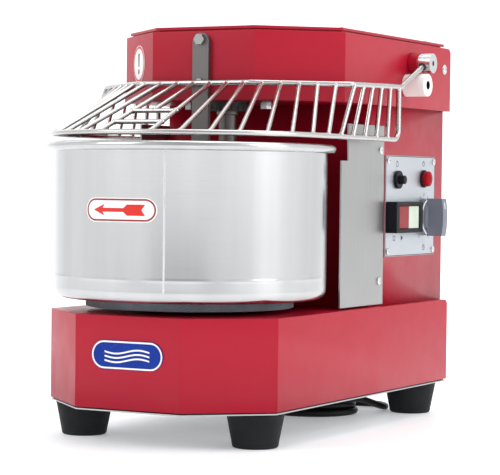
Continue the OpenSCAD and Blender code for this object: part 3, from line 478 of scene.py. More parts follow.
def coil_turns():
    """Two layers wound inward and back outward, anticlockwise from above."""
    layer = COIL_TURNS * 360
    steps = round(2 * layer / COIL_STEP)
    points = []
    for i in range(steps):
        turned = 2 * layer * i / steps
        inward = min(turned, 2 * layer - turned) / 360
        radius = COIL_TURN_R - COIL_PITCH * inward
        up = min(max((turned - layer) / COIL_CLIMB + 0.5, 0), 1)
        rise = up * up * (3 - 2 * up)
        angle = math.radians(COIL_START + turned)
        points.append(Vector((COIL_AT.x + radius * math.cos(angle), COIL_AT.y + radius * math.sin(angle),
                              CORD_R * (1 + 2 * rise))))
    return points


def add_cord(plug):
    """The mains lead from the gland to the plug."""
    lead = [Vector(p) * MM for p in LEAD]
    tail = [Vector(p) * MM for p in TAIL]
    path = smooth_path(lead + coil_turns() + tail, CORD_STEPS)
    curve = bpy.data.curves.new("power_cord", "CURVE")
    curve.dimensions = "3D"
    curve.bevel_depth = CORD_R
    curve.bevel_resolution = 5
    curve.use_fill_caps = True
    line = curve.splines.new("POLY")
    line.points.add(len(path) - 1)
    for spot, point in zip(line.points, path):
        spot.co = (*point, 1)
    curve.materials.append(SLOT_MATERIALS["cord_rubber"])
    cord = bpy.data.objects.new("power_cord", curve)
    bpy.context.scene.collection.objects.link(cord)
    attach(cord, "root")
    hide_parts("cord_lead", "cord_tail", "cord_coil")


add_cord([refined("plug_body", 1.2 * MM), refined("plug_pins", 0.3 * MM)])

# ---------- painted casings ----------

SHEET_BEND = 3 * MM
REAR_BEND = 8 * MM
BEND_STEPS = 4
HEAD_FLANGE = 20 * MM
# Upright part of a normal from which a face counts as level
LEVEL = 0.999


def plan(low, high):
    """Octagon-fronted outline inside a box, anticlockwise from the front's left end."""
    cut_x, cut_y = CHAMFER
    return [(low.x + cut_x, low.y), (high.x - cut_x, low.y), (high.x, low.y + cut_y), (high.x, high.y),
            (low.x, high.y), (low.x, low.y + cut_y)]


def bend_edges(work, chosen, width):
    """Rounds the edges that a test chooses."""
    edges = [edge for edge in work.edges if chosen(edge)]
    bmesh.ops.bevel(work, geom=edges, offset=width, segments=BEND_STEPS, profile=0.5, affect="EDGES",
                    clamp_overlap=True)


def upright(edge):
    """Whether an edge is one of a casing's tall corners."""
    way = edge.verts[0].co - edge.verts[1].co
    return way.length > 20 * MM and abs(way.z) > 0.99 * way.length


def widest_top(work):
    """The largest level face that looks up."""
    return max((f for f in work.faces if f.normal.z > LEVEL), key=lambda f: f.calc_area())


def casing(name, low, high, floor, opening=None):
    """Folded sheet casing with rounded folds, which can have a floor and an opening in its top."""
    work = bmesh.new()
    rings = [[work.verts.new((x, y, z)) for x, y in plan(low, high)] for z in (low.z, high.z)]
    join_rings(work, rings)
    work.faces.new(rings[1])
    if floor:
        work.faces.new(rings[0][::-1])
    rear_y, rear_z = high.y - MM / 10, high.z - MM / 10
    bend_edges(work, lambda e: all(v.co.y > rear_y and v.co.z > rear_z for v in e.verts), REAR_BEND)
    flat = [f for f in work.faces if f.normal.z > LEVEL or floor and f.normal.z < -LEVEL]
    bend_edges(work, lambda e: upright(e) or sum(f in flat for f in e.link_faces) == 1, SHEET_BEND)
    if opening:
        bmesh.ops.inset_region(work, faces=[widest_top(work)], thickness=opening, use_even_offset=True)
        bmesh.ops.delete(work, geom=[widest_top(work)], context="FACES")
    return to_mesh(name, work)


def add_sheet(thing):
    """Gives a surface its sheet thickness, on the inside."""
    sheet = thing.modifiers.new("sheet", "SOLIDIFY")
    sheet.thickness = SHEET
    sheet.offset = -1
    sheet.use_even_offset = True


def add_casings():
    """The painted base and the painted head, which is open under its lid."""
    base = casing("base_casing", BASE_LOW, BASE_HIGH, False)
    add_sheet(piece("base_casing", base, "root", "painted_steel", ["base_shell"]))
    head = casing("head_casing", HEAD_LOW, HEAD_HIGH, True, HEAD_FLANGE)
    add_sheet(piece("head_casing", head, "root", "painted_steel", ["head_shell"]))


def add_column():
    """Column: a front and two sides bent from one sheet, open at the rear."""
    work = bmesh.new()
    low, high = COLUMN_LOW, COLUMN_HIGH
    outline = [(low.x, high.y), (low.x, low.y), (high.x, low.y), (high.x, high.y)]
    rings = [[work.verts.new((x, y, z)) for x, y in outline] for z in (low.z, high.z)]
    for i in range(3):
        work.faces.new((rings[0][i], rings[0][i + 1], rings[1][i + 1], rings[1][i]))
    bend_edges(work, lambda e: upright(e) and len(e.link_faces) == 2, SHEET_BEND)
    mesh = to_mesh("column_casing", work)
    add_sheet(piece("column_casing", mesh, "root", "painted_steel", ["column_shell"]))


add_casings()
add_column()

# ---------- CAD nodes with rounded edges ----------

# Width of the rounding in mm of each node that keeps its CAD shape
ROUNDED = {
    "base_gasket": 0.2, "floor_plate": 0.3, "foot_bolts": 0.3, "rear_cover": 0.5,
    "cross_head_screws": 0.25, "side_guards": 0.4, "head_lid": 0.8, "breaker_bar": 0.6,
    "hex_bolts": 0.4, "spiral_bearing_housing": 0.5, "control_panel": 0.4, "reset_bezel": 0.5,
    "lamp_bezel": 0.5, "lamp_lens": 0.5, "switch_housing": 0.9, "pivot_bosses": 0.8, "bumpers": 1.0,
    "guard_hubs": 0.5, "cable_gland": 0.5, "spiral_shaft": 0.4, "spiral_hook": 0.5,
    "reset_button": 0.4, "start_button": 0.6, "stop_button": 0.6, "timer_knob": 1.0, "badge": 0.35,
}
OWN_MATERIAL = {
    "breaker_bar": BREAKER_STEEL, "guard_hubs": HUB_STEEL, "spiral_bearing_housing": BEARING_IRON,
    "spiral_shaft": SHAFT_STEEL, "hex_bolts": BOLT_STEEL,
}
for node, width in ROUNDED.items():
    refined(node, width * MM, OWN_MATERIAL.get(node))

# ---------- bowl and turntable ----------

RIM_TOP = BOWL_HIGH.z
FLOOR_Z = BOWL_LOW.z
BOWL_BEND = 11 * MM
BEAD_T = 1.2 * MM
LINE_Z = FLOOR_Z + 24 * MM
LINE_DEPTH = 0.22 * MM
LINE_ROWS = 8
LINE_ROW_GAP = 0.7 * MM
LINE_WAVES = 11
SEAM_AT = math.radians(19.4)
SEAM_HALF = 1.3 * MM
SEAM_PROUD = 0.26 * MM
SEAM_SUNK = 0.3 * MM
TABLE_EDGE = 9.5 * MM
TABLE_SHAFT_R = 12.5 * MM
TABLE_HUB_R = 30 * MM
TABLE_SKIRT = 8 * MM
TABLE_RECESS = 5 * MM
KNURL_DEPTH = 1.6 * MM
KNURL_TEETH = 220
KNURL_LEVELS = 5
KNURL_SLANT = 1.5


def fade_line(mesh):
    """Flattens the bowl's pressed line in places round the bowl."""
    for vert in mesh.vertices:
        out = math.hypot(vert.co.x, vert.co.y - BOWL_Y) - BOWL_R
        if abs(vert.co.z - LINE_Z) < 3 * MM and out > 0:
            angle = math.atan2(vert.co.x, BOWL_Y - vert.co.y)
            kept = out * (1 - max(math.sin(LINE_WAVES * angle), 0))
            centre = Vector((0, BOWL_Y, vert.co.z))
            vert.co = centre + (vert.co - centre) * ((BOWL_R + kept) / (BOWL_R + out))


def add_bowl():
    """Bowl of spun sheet with a rolled bead and a faint pressed line above its floor bend."""
    bead = (BOWL_R + BEAD_R - BOWL_T / 2, RIM_TOP - BEAD_R)
    inner_r = BOWL_R - BOWL_T
    bend_in = BOWL_BEND - BOWL_T
    bend_z = FLOOR_Z + BOWL_BEND
    under = FLOOR_Z + MM / 100
    profile = [(0, FLOOR_Z + BOWL_T), (inner_r - bend_in, FLOOR_Z + BOWL_T)]
    profile += arc((inner_r - bend_in, bend_z), bend_in, -75, 0, 6)
    profile += [(inner_r, bead[1] - 3 * MM)]
    profile += arc(bead, BEAD_R, 170, -140, 22)
    profile += arc(bead, BEAD_R - BEAD_T, -140, 175, 16)
    profile += [(BOWL_R, bead[1] - 2 * MM)]
    for row in range(LINE_ROWS + 1):
        swell = LINE_DEPTH * (1 - math.cos(2 * math.pi * row / LINE_ROWS)) / 2
        profile.append((BOWL_R + swell, LINE_Z + (LINE_ROWS / 2 - row) * LINE_ROW_GAP))
    profile += [(BOWL_R, bend_z + 0.6 * MM)]
    profile += arc((BOWL_R - BOWL_BEND, bend_z), BOWL_BEND, 0, -90, 12)
    profile += [(100 * MM, under), (0, under)]
    mesh = revolved("bowl_spun", profile, (0, BOWL_Y, 0), segments=160, smooth_angle=45)
    fade_line(mesh)
    piece("bowl_spun", mesh, "bowl", "polished_steel", ["bowl"])


def add_bowl_seam():
    """Polished weld down the bowl's wall."""
    work = bmesh.new()
    section = ((-SEAM_HALF, -SEAM_SUNK), (-SEAM_HALF / 2, SEAM_PROUD), (SEAM_HALF / 2, SEAM_PROUD),
               (SEAM_HALF, -SEAM_SUNK))
    rows = []
    for z in (RIM_TOP - 9 * MM, FLOOR_Z + BOWL_BEND):
        row = []
        for across, proud in section:
            angle = SEAM_AT + across / BOWL_R
            radius = BOWL_R + proud
            row.append(work.verts.new((radius * math.sin(angle), BOWL_Y - radius * math.cos(angle), z)))
        rows.append(row)
    join_rings(work, rows)
    work.faces.new(rows[0])
    work.faces.new(rows[-1])
    piece("bowl_seam", to_mesh("bowl_seam", work, 60), "bowl", "polished_steel", material=SEAM_STEEL)


def add_turntable():
    """Turntable on its shaft, recessed underneath between its hub and its skirt."""
    low, high = box_of("turntable")
    core_r = high.x - KNURL_DEPTH
    skirt_r = high.x - TABLE_SKIRT
    bottom = high.z - TABLE_EDGE
    profile = [(0, low.z), (TABLE_SHAFT_R - MM, low.z), (TABLE_SHAFT_R, low.z + MM),
               (TABLE_SHAFT_R, bottom - MM / 10), (TABLE_HUB_R, bottom),
               (TABLE_HUB_R, bottom + TABLE_RECESS), (skirt_r, bottom + TABLE_RECESS),
               (skirt_r, bottom), (core_r, bottom), (core_r, high.z), (0, high.z)]
    mesh = revolved("turntable_disc", profile, (0, BOWL_Y, 0), segments=120)
    piece("turntable_disc", mesh, "bowl", "machine_steel", ["turntable"], TURNTABLE_IRON)


def add_knurl():
    """Slanting knurl round the turntable's edge, closed inside by a plain band."""
    high = box_of("turntable")[1]
    work = bmesh.new()

    def ring(z, depths, shift):
        """Points round the edge, at two depths by turns."""
        points = []
        for i in range(2 * KNURL_TEETH):
            angle = math.pi * (i + shift) / KNURL_TEETH
            radius = high.x - depths[i % 2]
            points.append(work.verts.new((radius * math.cos(angle), BOWL_Y + radius * math.sin(angle), z)))
        return points

    edge = 0.4 * MM
    start, end = high.z - TABLE_EDGE + edge, high.z - edge
    rise = (end - start) / (KNURL_LEVELS - 1)
    teeth = (0.1 * MM, 0.9 * MM)
    rows = [ring(start + rise * level, teeth, KNURL_SLANT * level) for level in range(KNURL_LEVELS)]
    back = KNURL_DEPTH + 0.1 * MM
    foot, top = (ring(z, (back, back), 0) for z in (start, end))
    join_rings(work, [foot, *rows, top, foot])
    piece("turntable_knurl", to_mesh("turntable_knurl", work, 20), "bowl", "machine_steel",
          material=TURNTABLE_IRON)


# ---------- feet ----------

FOOT_LOW_R = 21.5 * MM
FOOT_LOW_BEND = 3 * MM
FOOT_TOP_R = 29.7 * MM
FOOT_TOP_BEND = 1.4 * MM
FOOT_RECESS_R = 11 * MM
FOOT_RECESS = 12 * MM
FOOT_BORE_R = 5.2 * MM
FOOT_EASE = 0.6 * MM


def add_feet():
    """Tapered rubber feet with a recess for the bolt underneath."""
    for node in ("foot_front_left", "foot_front_right", "foot_rear_left", "foot_rear_right"):
        centre = middle(node)
        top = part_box(node)[1][2]
        profile = [(FOOT_RECESS_R, FOOT_RECESS), (FOOT_RECESS_R, FOOT_EASE), (FOOT_RECESS_R + FOOT_EASE, 0)]
        profile += [(FOOT_LOW_R, 0)] + arc((FOOT_LOW_R, FOOT_LOW_BEND), FOOT_LOW_BEND, -80, 0, 5)
        profile += [(FOOT_TOP_R + FOOT_TOP_BEND / 2, top - 3.4 * MM)]
        profile += arc((FOOT_TOP_R, top - FOOT_TOP_BEND), FOOT_TOP_BEND, 0, 90, 4)
        profile += [(FOOT_BORE_R, top), (FOOT_BORE_R, FOOT_RECESS)]
        mesh = revolved(node + "_rubber", profile, (centre.x, centre.y, 0), segments=72)
        piece(node + "_rubber", mesh, "root", "rubber", [node])


# ---------- guard ----------

WIRE_R = 3 * MM
ROD_R = 2.5 * MM
WELD_R = 3.1 * MM
WELD_IN = 2.4 * MM
GUARD_HALF = 158 * MM
UPPER_Z = 384 * MM
LOWER_Z = 327 * MM
UPPER_BEND = 14 * MM
LOWER_BEND = 12 * MM
FOLD = Vector((71 * MM, HEAD_LOW.y - 18 * MM))
CORNER = Vector((GUARD_HALF, HEAD_LOW.y + 54 * MM))
FOLD_RODS, SIDE_RODS, ARC_RODS = 9, 5, 8
CROSSBARS = (0.58, 0.8)
LOWER_Y = BOWL_Y + 14 * MM
GUARD_END = COLUMN_LOW.y + 19 * MM
HINGE = Vector((GUARD_HALF, COLUMN_LOW.y + 95.5 * MM, 417.5 * MM))
RAIL_RISE = 3 * MM
ARM_BEND = Vector((GUARD_HALF, GUARD_END + 7 * MM, UPPER_Z + RAIL_RISE))
ARM = (HINGE - ARM_BEND).normalized()
HUB_R = 11.5 * MM
ARM_IN_HUB = 4 * MM


def rail_z(y):
    """Height of the upper rail, which climbs a little along the sides."""
    return UPPER_Z + RAIL_RISE * max(y - CORNER.y, 0) / (ARM_BEND.y - CORNER.y)


def upper_point(k):
    """Where rod k meets the upper rail, counted from the middle of the front."""
    run = FOLD.x + (CORNER - FOLD).length
    s = min(abs(k), FOLD_RODS) * run / FOLD_RODS
    spot = Vector((s, FOLD.y)) if s <= FOLD.x else FOLD + (CORNER - FOLD).normalized() * (s - FOLD.x)
    back = max(abs(k) - FOLD_RODS, 0) * (GUARD_END - CORNER.y) / SIDE_RODS
    return Vector((math.copysign(spot.x, k), spot.y + back, rail_z(spot.y + back)))


def lower_point(k):
    """Where rod k meets the lower rail."""
    angle = math.radians(min(abs(k), ARC_RODS) * 90 / ARC_RODS)
    back = max(abs(k) - ARC_RODS, 0) * (GUARD_END - LOWER_Y) / (FOLD_RODS + SIDE_RODS - ARC_RODS)
    return Vector((math.copysign(GUARD_HALF * math.sin(angle), k),
                   LOWER_Y - GUARD_HALF * math.cos(angle) + back, LOWER_Z))


def mirrored(points):
    """The same path on the other side, run backwards."""
    return [Vector((-p.x, p.y, p.z)) for p in reversed(points)]


def weld(work, spot, size=WELD_R):
    """Small bead of weld."""
    at_spot = Matrix.Translation(spot)
    bmesh.ops.create_uvsphere(work, u_segments=12, v_segments=8, radius=size, matrix=at_spot)


def add_rails(work):
    """Upper rail with its two arms, and lower rail with its two upturned ends."""
    arm_end = HINGE - ARM * (HUB_R - ARM_IN_HUB)
    half = [Vector((*FOLD, UPPER_Z)), Vector((*CORNER, UPPER_Z)), ARM_BEND, arm_end]
    sweep(work, rounded(mirrored(half) + half, UPPER_BEND), WIRE_R, 20)
    end = [Vector((GUARD_HALF, y, z))
           for y, z in ((LOWER_Y, LOWER_Z), (GUARD_END, LOWER_Z), (GUARD_END, rail_z(GUARD_END)))]
    side = rounded(end, LOWER_BEND)
    front = [Vector((GUARD_HALF * math.sin(a), LOWER_Y - GUARD_HALF * math.cos(a), LOWER_Z))
             for a in (math.radians(step) for step in range(-87, 90, 3))]
    sweep(work, mirrored(side) + front + side, WIRE_R, 20)


def add_guard():
    """Welded wire basket: two rails, the rods between them and the bars of the filling slot."""
    work = bmesh.new()
    add_rails(work)
    last = FOLD_RODS + SIDE_RODS - 1
    for k in range(-last, last + 1):
        top, foot = upper_point(k), lower_point(k)
        if k == 0:
            foot = top.lerp(foot, CROSSBARS[0])
        sweep(work, [top, foot], ROD_R, 14)
        way = (foot - top).normalized()
        weld(work, top + way * WELD_IN)
        weld(work, foot - way * WELD_IN, WELD_R if k else 2.9 * MM)
    for share in CROSSBARS:
        left, right = (upper_point(k).lerp(lower_point(k), share) for k in (-1, 1))
        sweep(work, [left, right], ROD_R, 14)
        weld(work, left, 3.2 * MM)
        weld(work, right, 3.2 * MM)
    for sign in (-1, 1):
        weld(work, Vector((sign * GUARD_HALF, GUARD_END, rail_z(GUARD_END) - WELD_IN)), 3.6 * MM)
    piece("guard_basket", to_mesh("guard_basket", work, 50), "guard", "guard_wire",
          ["guard_upper_rail", "guard_lower_rail", "guard_rods"])


# ---------- small fittings ----------

HUB_LENGTH = 14.9 * MM
GRUB_TURN = 150
SOCKET_R = 4.7 * MM
BUMPER_BORE_R = 4.98 * MM
BUMPER_BORE = (-0.3 * MM, -7.8 * MM)
# Thickness of the black tube that paints shade inside the bumpers' bores
BORE_SHADE_FILM = 0.28 * MM
SIDE_SCREW_Z = 416 * MM
SIDE_SCREW_IN = 20 * MM
WASHER_R = (4.3 * MM, 6.2 * MM)


def facing_side(x, y, z):
    """Place on a side of the object, with its own upright axis pointing out of that side."""
    return Matrix.Translation((x, y, z)) @ Matrix.Rotation(math.copysign(math.pi / 2, x), 4, "Y")


def add_grub_screws():
    """Socket screws that clamp the guard's arms in its hubs."""
    outer = box_of("guard_hubs")[1].x
    work = bmesh.new()
    outline = ((0, -3), (1.7, -3), (1.7, -0.3), (1.4, 0), (0.9, 0), (0.9, -1.5), (0, -1.5))
    profile = [(r * MM, z * MM) for r, z in outline]
    turn = Matrix.Rotation(math.radians(GRUB_TURN), 4, "X")
    for sign in (-1, 1):
        for x in (outer - HUB_LENGTH + 4.5 * MM, outer - 3.5 * MM):
            hub = Matrix.Translation((sign * x, HINGE.y, HINGE.z))
            spin(work, profile, hub @ turn @ Matrix.Translation((0, 0, HUB_R)), 6)
    piece("grub_screws", to_mesh("grub_screws", work, 30), "guard", "machine_steel", material=DARK_STEEL)


def add_wire_socket_shade():
    """Black film rings round the guard's arms, lying on the hubs' round sides: painted shade for the dark
    mouths of the holes that take the arms.
    """
    work = bmesh.new()
    # Each ring is painted shade: a black film where the hole's mouth lies in shadow.
    ring_outline(work, circle((0, 0), SOCKET_R), circle((0, 0), 2.6 * MM), FILM)
    for vert in work.verts:
        across, round_hub, out = vert.co
        radius = HUB_R + out
        turn = math.atan2(-ARM.z, -ARM.y) + round_hub / HUB_R
        vert.co = (HINGE.x + across, HINGE.y + radius * math.cos(turn), HINGE.z + radius * math.sin(turn))
    bmesh.ops.duplicate(work, geom=work.verts[:] + work.edges[:] + work.faces[:])
    work.verts.ensure_lookup_table()
    for vert in work.verts[len(work.verts) // 2:]:
        vert.co.x = -vert.co.x
    piece("wire_socket_painted_shade", to_mesh("wire_socket_painted_shade", work, 30), "guard", "machine_steel", material=PRINT_BLACK)


def add_bumper_bore_shade():
    """Black tube inside the bumpers' screw holes: painted shade of the holes' depth."""
    centre, outer = middle("bumpers"), box_of("bumpers")[1].x
    mouth, end = BUMPER_BORE
    inner_r = BUMPER_BORE_R - BORE_SHADE_FILM
    profile = [(BUMPER_BORE_R, mouth), (BUMPER_BORE_R, end), (inner_r, end), (inner_r, mouth)]
    work = bmesh.new()
    for sign in (-1, 1):
        spin(work, profile, facing_side(sign * outer, centre.y, centre.z), 32)
    # Black tube inside each white bore: painted shade.
    piece("bumper_bore_painted_shade", to_mesh("bumper_bore_painted_shade", work, 30), "root", "black_plastic")


def add_side_washers():
    """Washers round the screws in the head's sides."""
    inner, outer = WASHER_R
    under, top = 0.05 * MM, 1 * MM
    ease = 0.3 * MM
    profile = [(inner, under), (outer, under), (outer, top - ease), (outer - ease, top), (inner, top)]
    work = bmesh.new()
    for sign in (-1, 1):
        spin(work, profile, facing_side(sign * HEAD_HIGH.x, HEAD_HIGH.y - SIDE_SCREW_IN, SIDE_SCREW_Z), 40)
    piece("side_washers", to_mesh("side_washers", work, 30), "root", "fastener")


# ---------- prints and labels ----------

FILM = 0.12 * MM
BADGE_SIZE = Vector((85 * MM, 29 * MM))
BADGE_BORDER = 1.7 * MM
ROUND_LABEL_R = 21 * MM
ROUND_LABEL_T = 0.5 * MM
ARROW_LABEL = Vector((86 * MM, 25 * MM))
ARROW_RING = Vector((83.4 * MM, 23 * MM))
ARROW_RING_W = 1.8 * MM
KNOB_R = 22.2 * MM
KNOB_SKIRT = 7 * MM
KNOB_BOW_R = 120 * MM
# Columns: right, up and out of the surface
ON_FRONT = Matrix(((1, 0, 0), (0, 0, -1), (0, 1, 0))).to_4x4()
ON_SIDE = Matrix(((0, 0, 1), (1, 0, 0), (0, 1, 0))).to_4x4()


def extruded(work, outline, depth, lift=0.0):
    """Prism from a flat outline, standing on its own plane."""
    rings = [[work.verts.new((x, y, z)) for x, y in outline] for z in (lift, lift + depth)]
    work.faces.new(rings[0][::-1])
    work.faces.new(rings[1])
    join_rings(work, rings)


def ring_outline(work, outer, inner, depth, lift=0.0):
    """Flat band between two outlines with as many points."""
    rings = [[work.verts.new((x, y, z)) for x, y in line]
             for line, z in ((inner, lift), (outer, lift), (outer, lift + depth), (inner, lift + depth))]
    join_rings(work, rings + rings[:1])


def stadium(size):
    """Outline with round ends."""
    width, height = size
    r = height / 2
    return arc((width / 2 - r, 0), r, -90, 90, 16) + arc((r - width / 2, 0), r, 90, 270, 16)


def circle(centre, radius, steps=24):
    """Round outline."""
    return arc(centre, radius, 0, 360 - 360 / steps, steps - 1)


def box_outline(centre, width, height):
    """Rectangular outline."""
    x, y = centre
    return [(x - width / 2, y - height / 2), (x + width / 2, y - height / 2),
            (x + width / 2, y + height / 2), (x - width / 2, y + height / 2)]


def border(work, size, width, lift=0.0, depth=FILM):
    """Band with round ends and an even width, measured inwards from its outer size."""
    ring_outline(work, stadium(size), stadium(size - 2 * Vector((width, width))), depth, lift)


def stroke(a, b, width):
    """Outline of a straight line with a width."""
    a, b = Vector(a), Vector(b)
    off = (b - a).normalized().orthogonal() * width / 2
    return [tuple(p) for p in (a + off, a - off, b - off, b + off)]


def place_print(work, name, matrix, body, material=None):
    """Puts a flat print on its surface, as a piece with the finish of a label or one of its own."""
    for vert in work.verts:
        vert.co = matrix @ vert.co
    return piece(name, to_mesh(name, work, 20), body, "label", material=material)


def add_badge_print():
    """Border and plain wave on the badge."""
    centre, front = middle("badge"), box_of("badge")[0].y
    spot = Matrix.Translation((centre.x, front, centre.z)) @ ON_FRONT
    work = bmesh.new()
    border(work, BADGE_SIZE, BADGE_BORDER)
    for rise in (-4.5, 0, 4.5):
        crest = [(x * MM, (rise + 2.2 * math.sin(x / 9)) * MM) for x in range(-27, 28, 2)]
        keel = [(x, y - 1.7 * MM) for x, y in reversed(crest)]
        extruded(work, keel + crest, FILM)
    place_print(work, "badge_print", spot, "root", PRINT_WHITE)


def add_round_label():
    """Round label on the head's left chamfer: a white disc with a red ring and a grey mark of attention."""
    out = Vector((-CHAMFER[1], -CHAMFER[0], 0)).normalized()
    across = Vector((-out.y, out.x, 0))
    to_side = Matrix((across, Vector((0, 0, 1)), out)).transposed().to_4x4()
    spot = Matrix.Translation(middle("safety_label") - out * ROUND_LABEL_T / 2) @ to_side
    work = bmesh.new()
    extruded(work, circle((0, 0), ROUND_LABEL_R, 64), ROUND_LABEL_T)
    disc = place_print(work, "round_label", spot, "root")
    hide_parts("safety_label")
    work = bmesh.new()
    outer, inner = (circle((0, 0), ROUND_LABEL_R - inset, 64) for inset in (0.8 * MM, 3.4 * MM))
    ring_outline(work, outer, inner, FILM, ROUND_LABEL_T)
    place_print(work, "round_label_ring", spot, "root", PRINT_RED)
    work = bmesh.new()
    bar = ((3.4, 12), (1.8, -3), (-1.8, -3), (-3.4, 12))
    extruded(work, [(x * MM, y * MM) for x, y in bar], FILM, ROUND_LABEL_T)
    extruded(work, circle((0, -8.5 * MM), 3 * MM), FILM, ROUND_LABEL_T)
    place_print(work, "round_label_mark", spot, "root", PRINT_GREY)


def cut_all(work, at, across):
    """Adds edges where a plane crosses a mesh, so that the mesh can bend there."""
    everything = work.verts[:] + work.edges[:] + work.faces[:]
    bmesh.ops.bisect_plane(work, geom=everything, plane_co=at, plane_no=across)


def wrap_on_bowl(work, height):
    """Cuts a flat print into narrow strips and bends it round the bowl's wall."""
    for step in range(-42, 43, 3):
        cut_all(work, (step * MM, 0, 0), (1, 0, 0))
    for vert in work.verts:
        x, y, out = vert.co
        radius = BOWL_R + out
        vert.co = (radius * math.sin(x / BOWL_R), BOWL_Y - radius * math.cos(x / BOWL_R), height + y)


def add_arrow_label():
    """Stadium label on the bowl with a red outline and an arrow for the way that it turns."""
    base_t, print_t = 0.3 * MM, 0.1 * MM
    half_arrow = [(-32, 0), (-17.5, 6), (-20, 2), (5.5, 2), (9.8, 5.7), (30, 5.7)]
    arrow = half_arrow + [(26, 0)] + [(x, -y) for x, y in reversed(half_arrow[1:])]
    base, ring, pointer = bmesh.new(), bmesh.new(), bmesh.new()
    extruded(base, stadium(ARROW_LABEL), base_t)
    border(ring, ARROW_RING, ARROW_RING_W, base_t, print_t)
    extruded(pointer, [(x * MM, y * MM) for x, y in reversed(arrow)], print_t, base_t)
    height = middle("direction_label").z
    for name, work, material in (("direction_base", base, None), ("direction_ring", ring, PRINT_DARK_RED),
                                 ("direction_arrow", pointer, PRINT_RED)):
        wrap_on_bowl(work, height)
        label = place_print(work, name, Matrix(), "bowl", material)
        if name == "direction_base":
            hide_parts("direction_label")


def add_panel_print_and_edge_shade():
    """Plain symbols beside the controls, the timer's scale, and a black band round the panel's edge that is
    painted shade of the edge.
    """
    work = bmesh.new()
    reset, lamp, knob = middle("reset_bezel"), middle("lamp_bezel"), middle("timer_knob")
    switch, panel = middle("switch_housing"), middle("control_panel")
    line = 0.7 * MM

    def arc_band(centre, radius, start, end):
        """Bent line with an even width."""
        outer, inner = (arc(centre, radius + side * line / 2, start, end, 14) for side in (1, -1))
        extruded(work, outer + inner[::-1], FILM)

    def around(mark, *offsets):
        """Points placed by millimetres from a mark."""
        return [(mark[0] + x * MM, mark[1] + y * MM) for x, y in offsets]

    above = 18 * MM
    mark = (reset.y, reset.z + above)
    arc_band(mark, 3 * MM, -200, 90)
    extruded(work, around(mark, (-0.2, 1.4), (-0.2, 4.6), (-2.8, 3)), FILM)
    mark = (lamp.y, lamp.z + above)
    arc_band(mark, 3 * MM, -240, 60)
    extruded(work, stroke(*around(mark, (0, 0), (0, 3.8)), line), FILM)
    below = switch.z - 24.5 * MM
    mark = (switch.y - 14 * MM, below)
    ring_outline(work, box_outline(mark, 6 * MM, 6 * MM), box_outline(mark, 4.6 * MM, 4.6 * MM), FILM)
    mark = (switch.y + 8 * MM, below)
    extruded(work, around(mark, (-2.6, -3), (3.2, 0), (-2.6, 3)), FILM)
    centre = Vector((knob.y, knob.z))
    for i in range(13):
        angle = math.radians(240 - 25 * i)
        way = Vector((math.cos(angle), math.sin(angle)))
        start, reach = 24.6 * MM, (4.4 if i % 2 == 0 else 2.6) * MM
        extruded(work, stroke(centre + way * start, centre + way * (start + reach), 0.9 * MM), FILM)
    mark = (knob.y, knob.z - 36 * MM)
    arc_band(mark, 3.2 * MM, 0, 359.9)
    for hand in ((0, 2.4), (1.7, 0)):
        extruded(work, stroke(*around(mark, (0, 0), hand), line), FILM)
    # Black band just inside the panel's edge: painted shade along the edge, not a print.
    width, height = PANEL_HIGH.y - PANEL_LOW.y, PANEL_HIGH.z - PANEL_LOW.z
    inset = 0.9 * MM
    centre = (panel.y, panel.z)
    outer, inner = (box_outline(centre, width - gap, height - gap) for gap in (inset, 3 * inset))
    ring_outline(work, outer, inner, FILM)
    spot = Matrix.Translation((PANEL_HIGH.x, 0, 0)) @ ON_SIDE
    place_print(work, "panel_print_with_edge_shade", spot, "root", PRINT_BLACK)


def add_knob_highlight_and_pointer():
    """Pale ring round the timer knob's skirt, a painted highlight of the skirt's edge, and a pale line on
    the bowed end of its grip.
    """
    centre, end = middle("timer_knob"), box_of("timer_knob")[1].x
    work = bmesh.new()
    # White ring on the skirt: painted highlight of the skirt's rounded edge, not a print.
    outer, inner = (circle((centre.y, centre.z), KNOB_R - inset, 72) for inset in (0.4 * MM, 2.2 * MM))
    ring_outline(work, outer, inner, 0.25 * MM)
    skirt = Matrix.Translation((PANEL_HIGH.x + KNOB_SKIRT - 0.05 * MM, 0, 0)) @ ON_SIDE
    place_print(work, "knob_skirt_painted_highlight", skirt, "timer", PRINT_WHITE)
    work = bmesh.new()
    extruded(work, box_outline((centre.y, centre.z + 14 * MM), 1.6 * MM, 8 * MM), 0.3 * MM, -0.15 * MM)
    for rise in (12, 14, 16):
        cut_all(work, (0, centre.z + rise * MM, 0), (0, 1, 0))
    for vert in work.verts:
        rise = vert.co.y - centre.z
        vert.co.z -= KNOB_BOW_R - math.sqrt(KNOB_BOW_R ** 2 - rise ** 2)
    place_print(work, "knob_pointer", Matrix.Translation((end, 0, 0)) @ ON_SIDE, "timer", PRINT_WHITE)


add_bowl()
add_bowl_seam()
add_turntable()
add_knurl()
add_feet()
add_guard()
add_grub_screws()
add_wire_socket_shade()
add_bumper_bore_shade()
add_side_washers()
add_badge_print()
add_round_label()
add_arrow_label()
add_panel_print_and_edge_shade()
add_knob_highlight_and_pointer()

# ---------- floor and light ----------


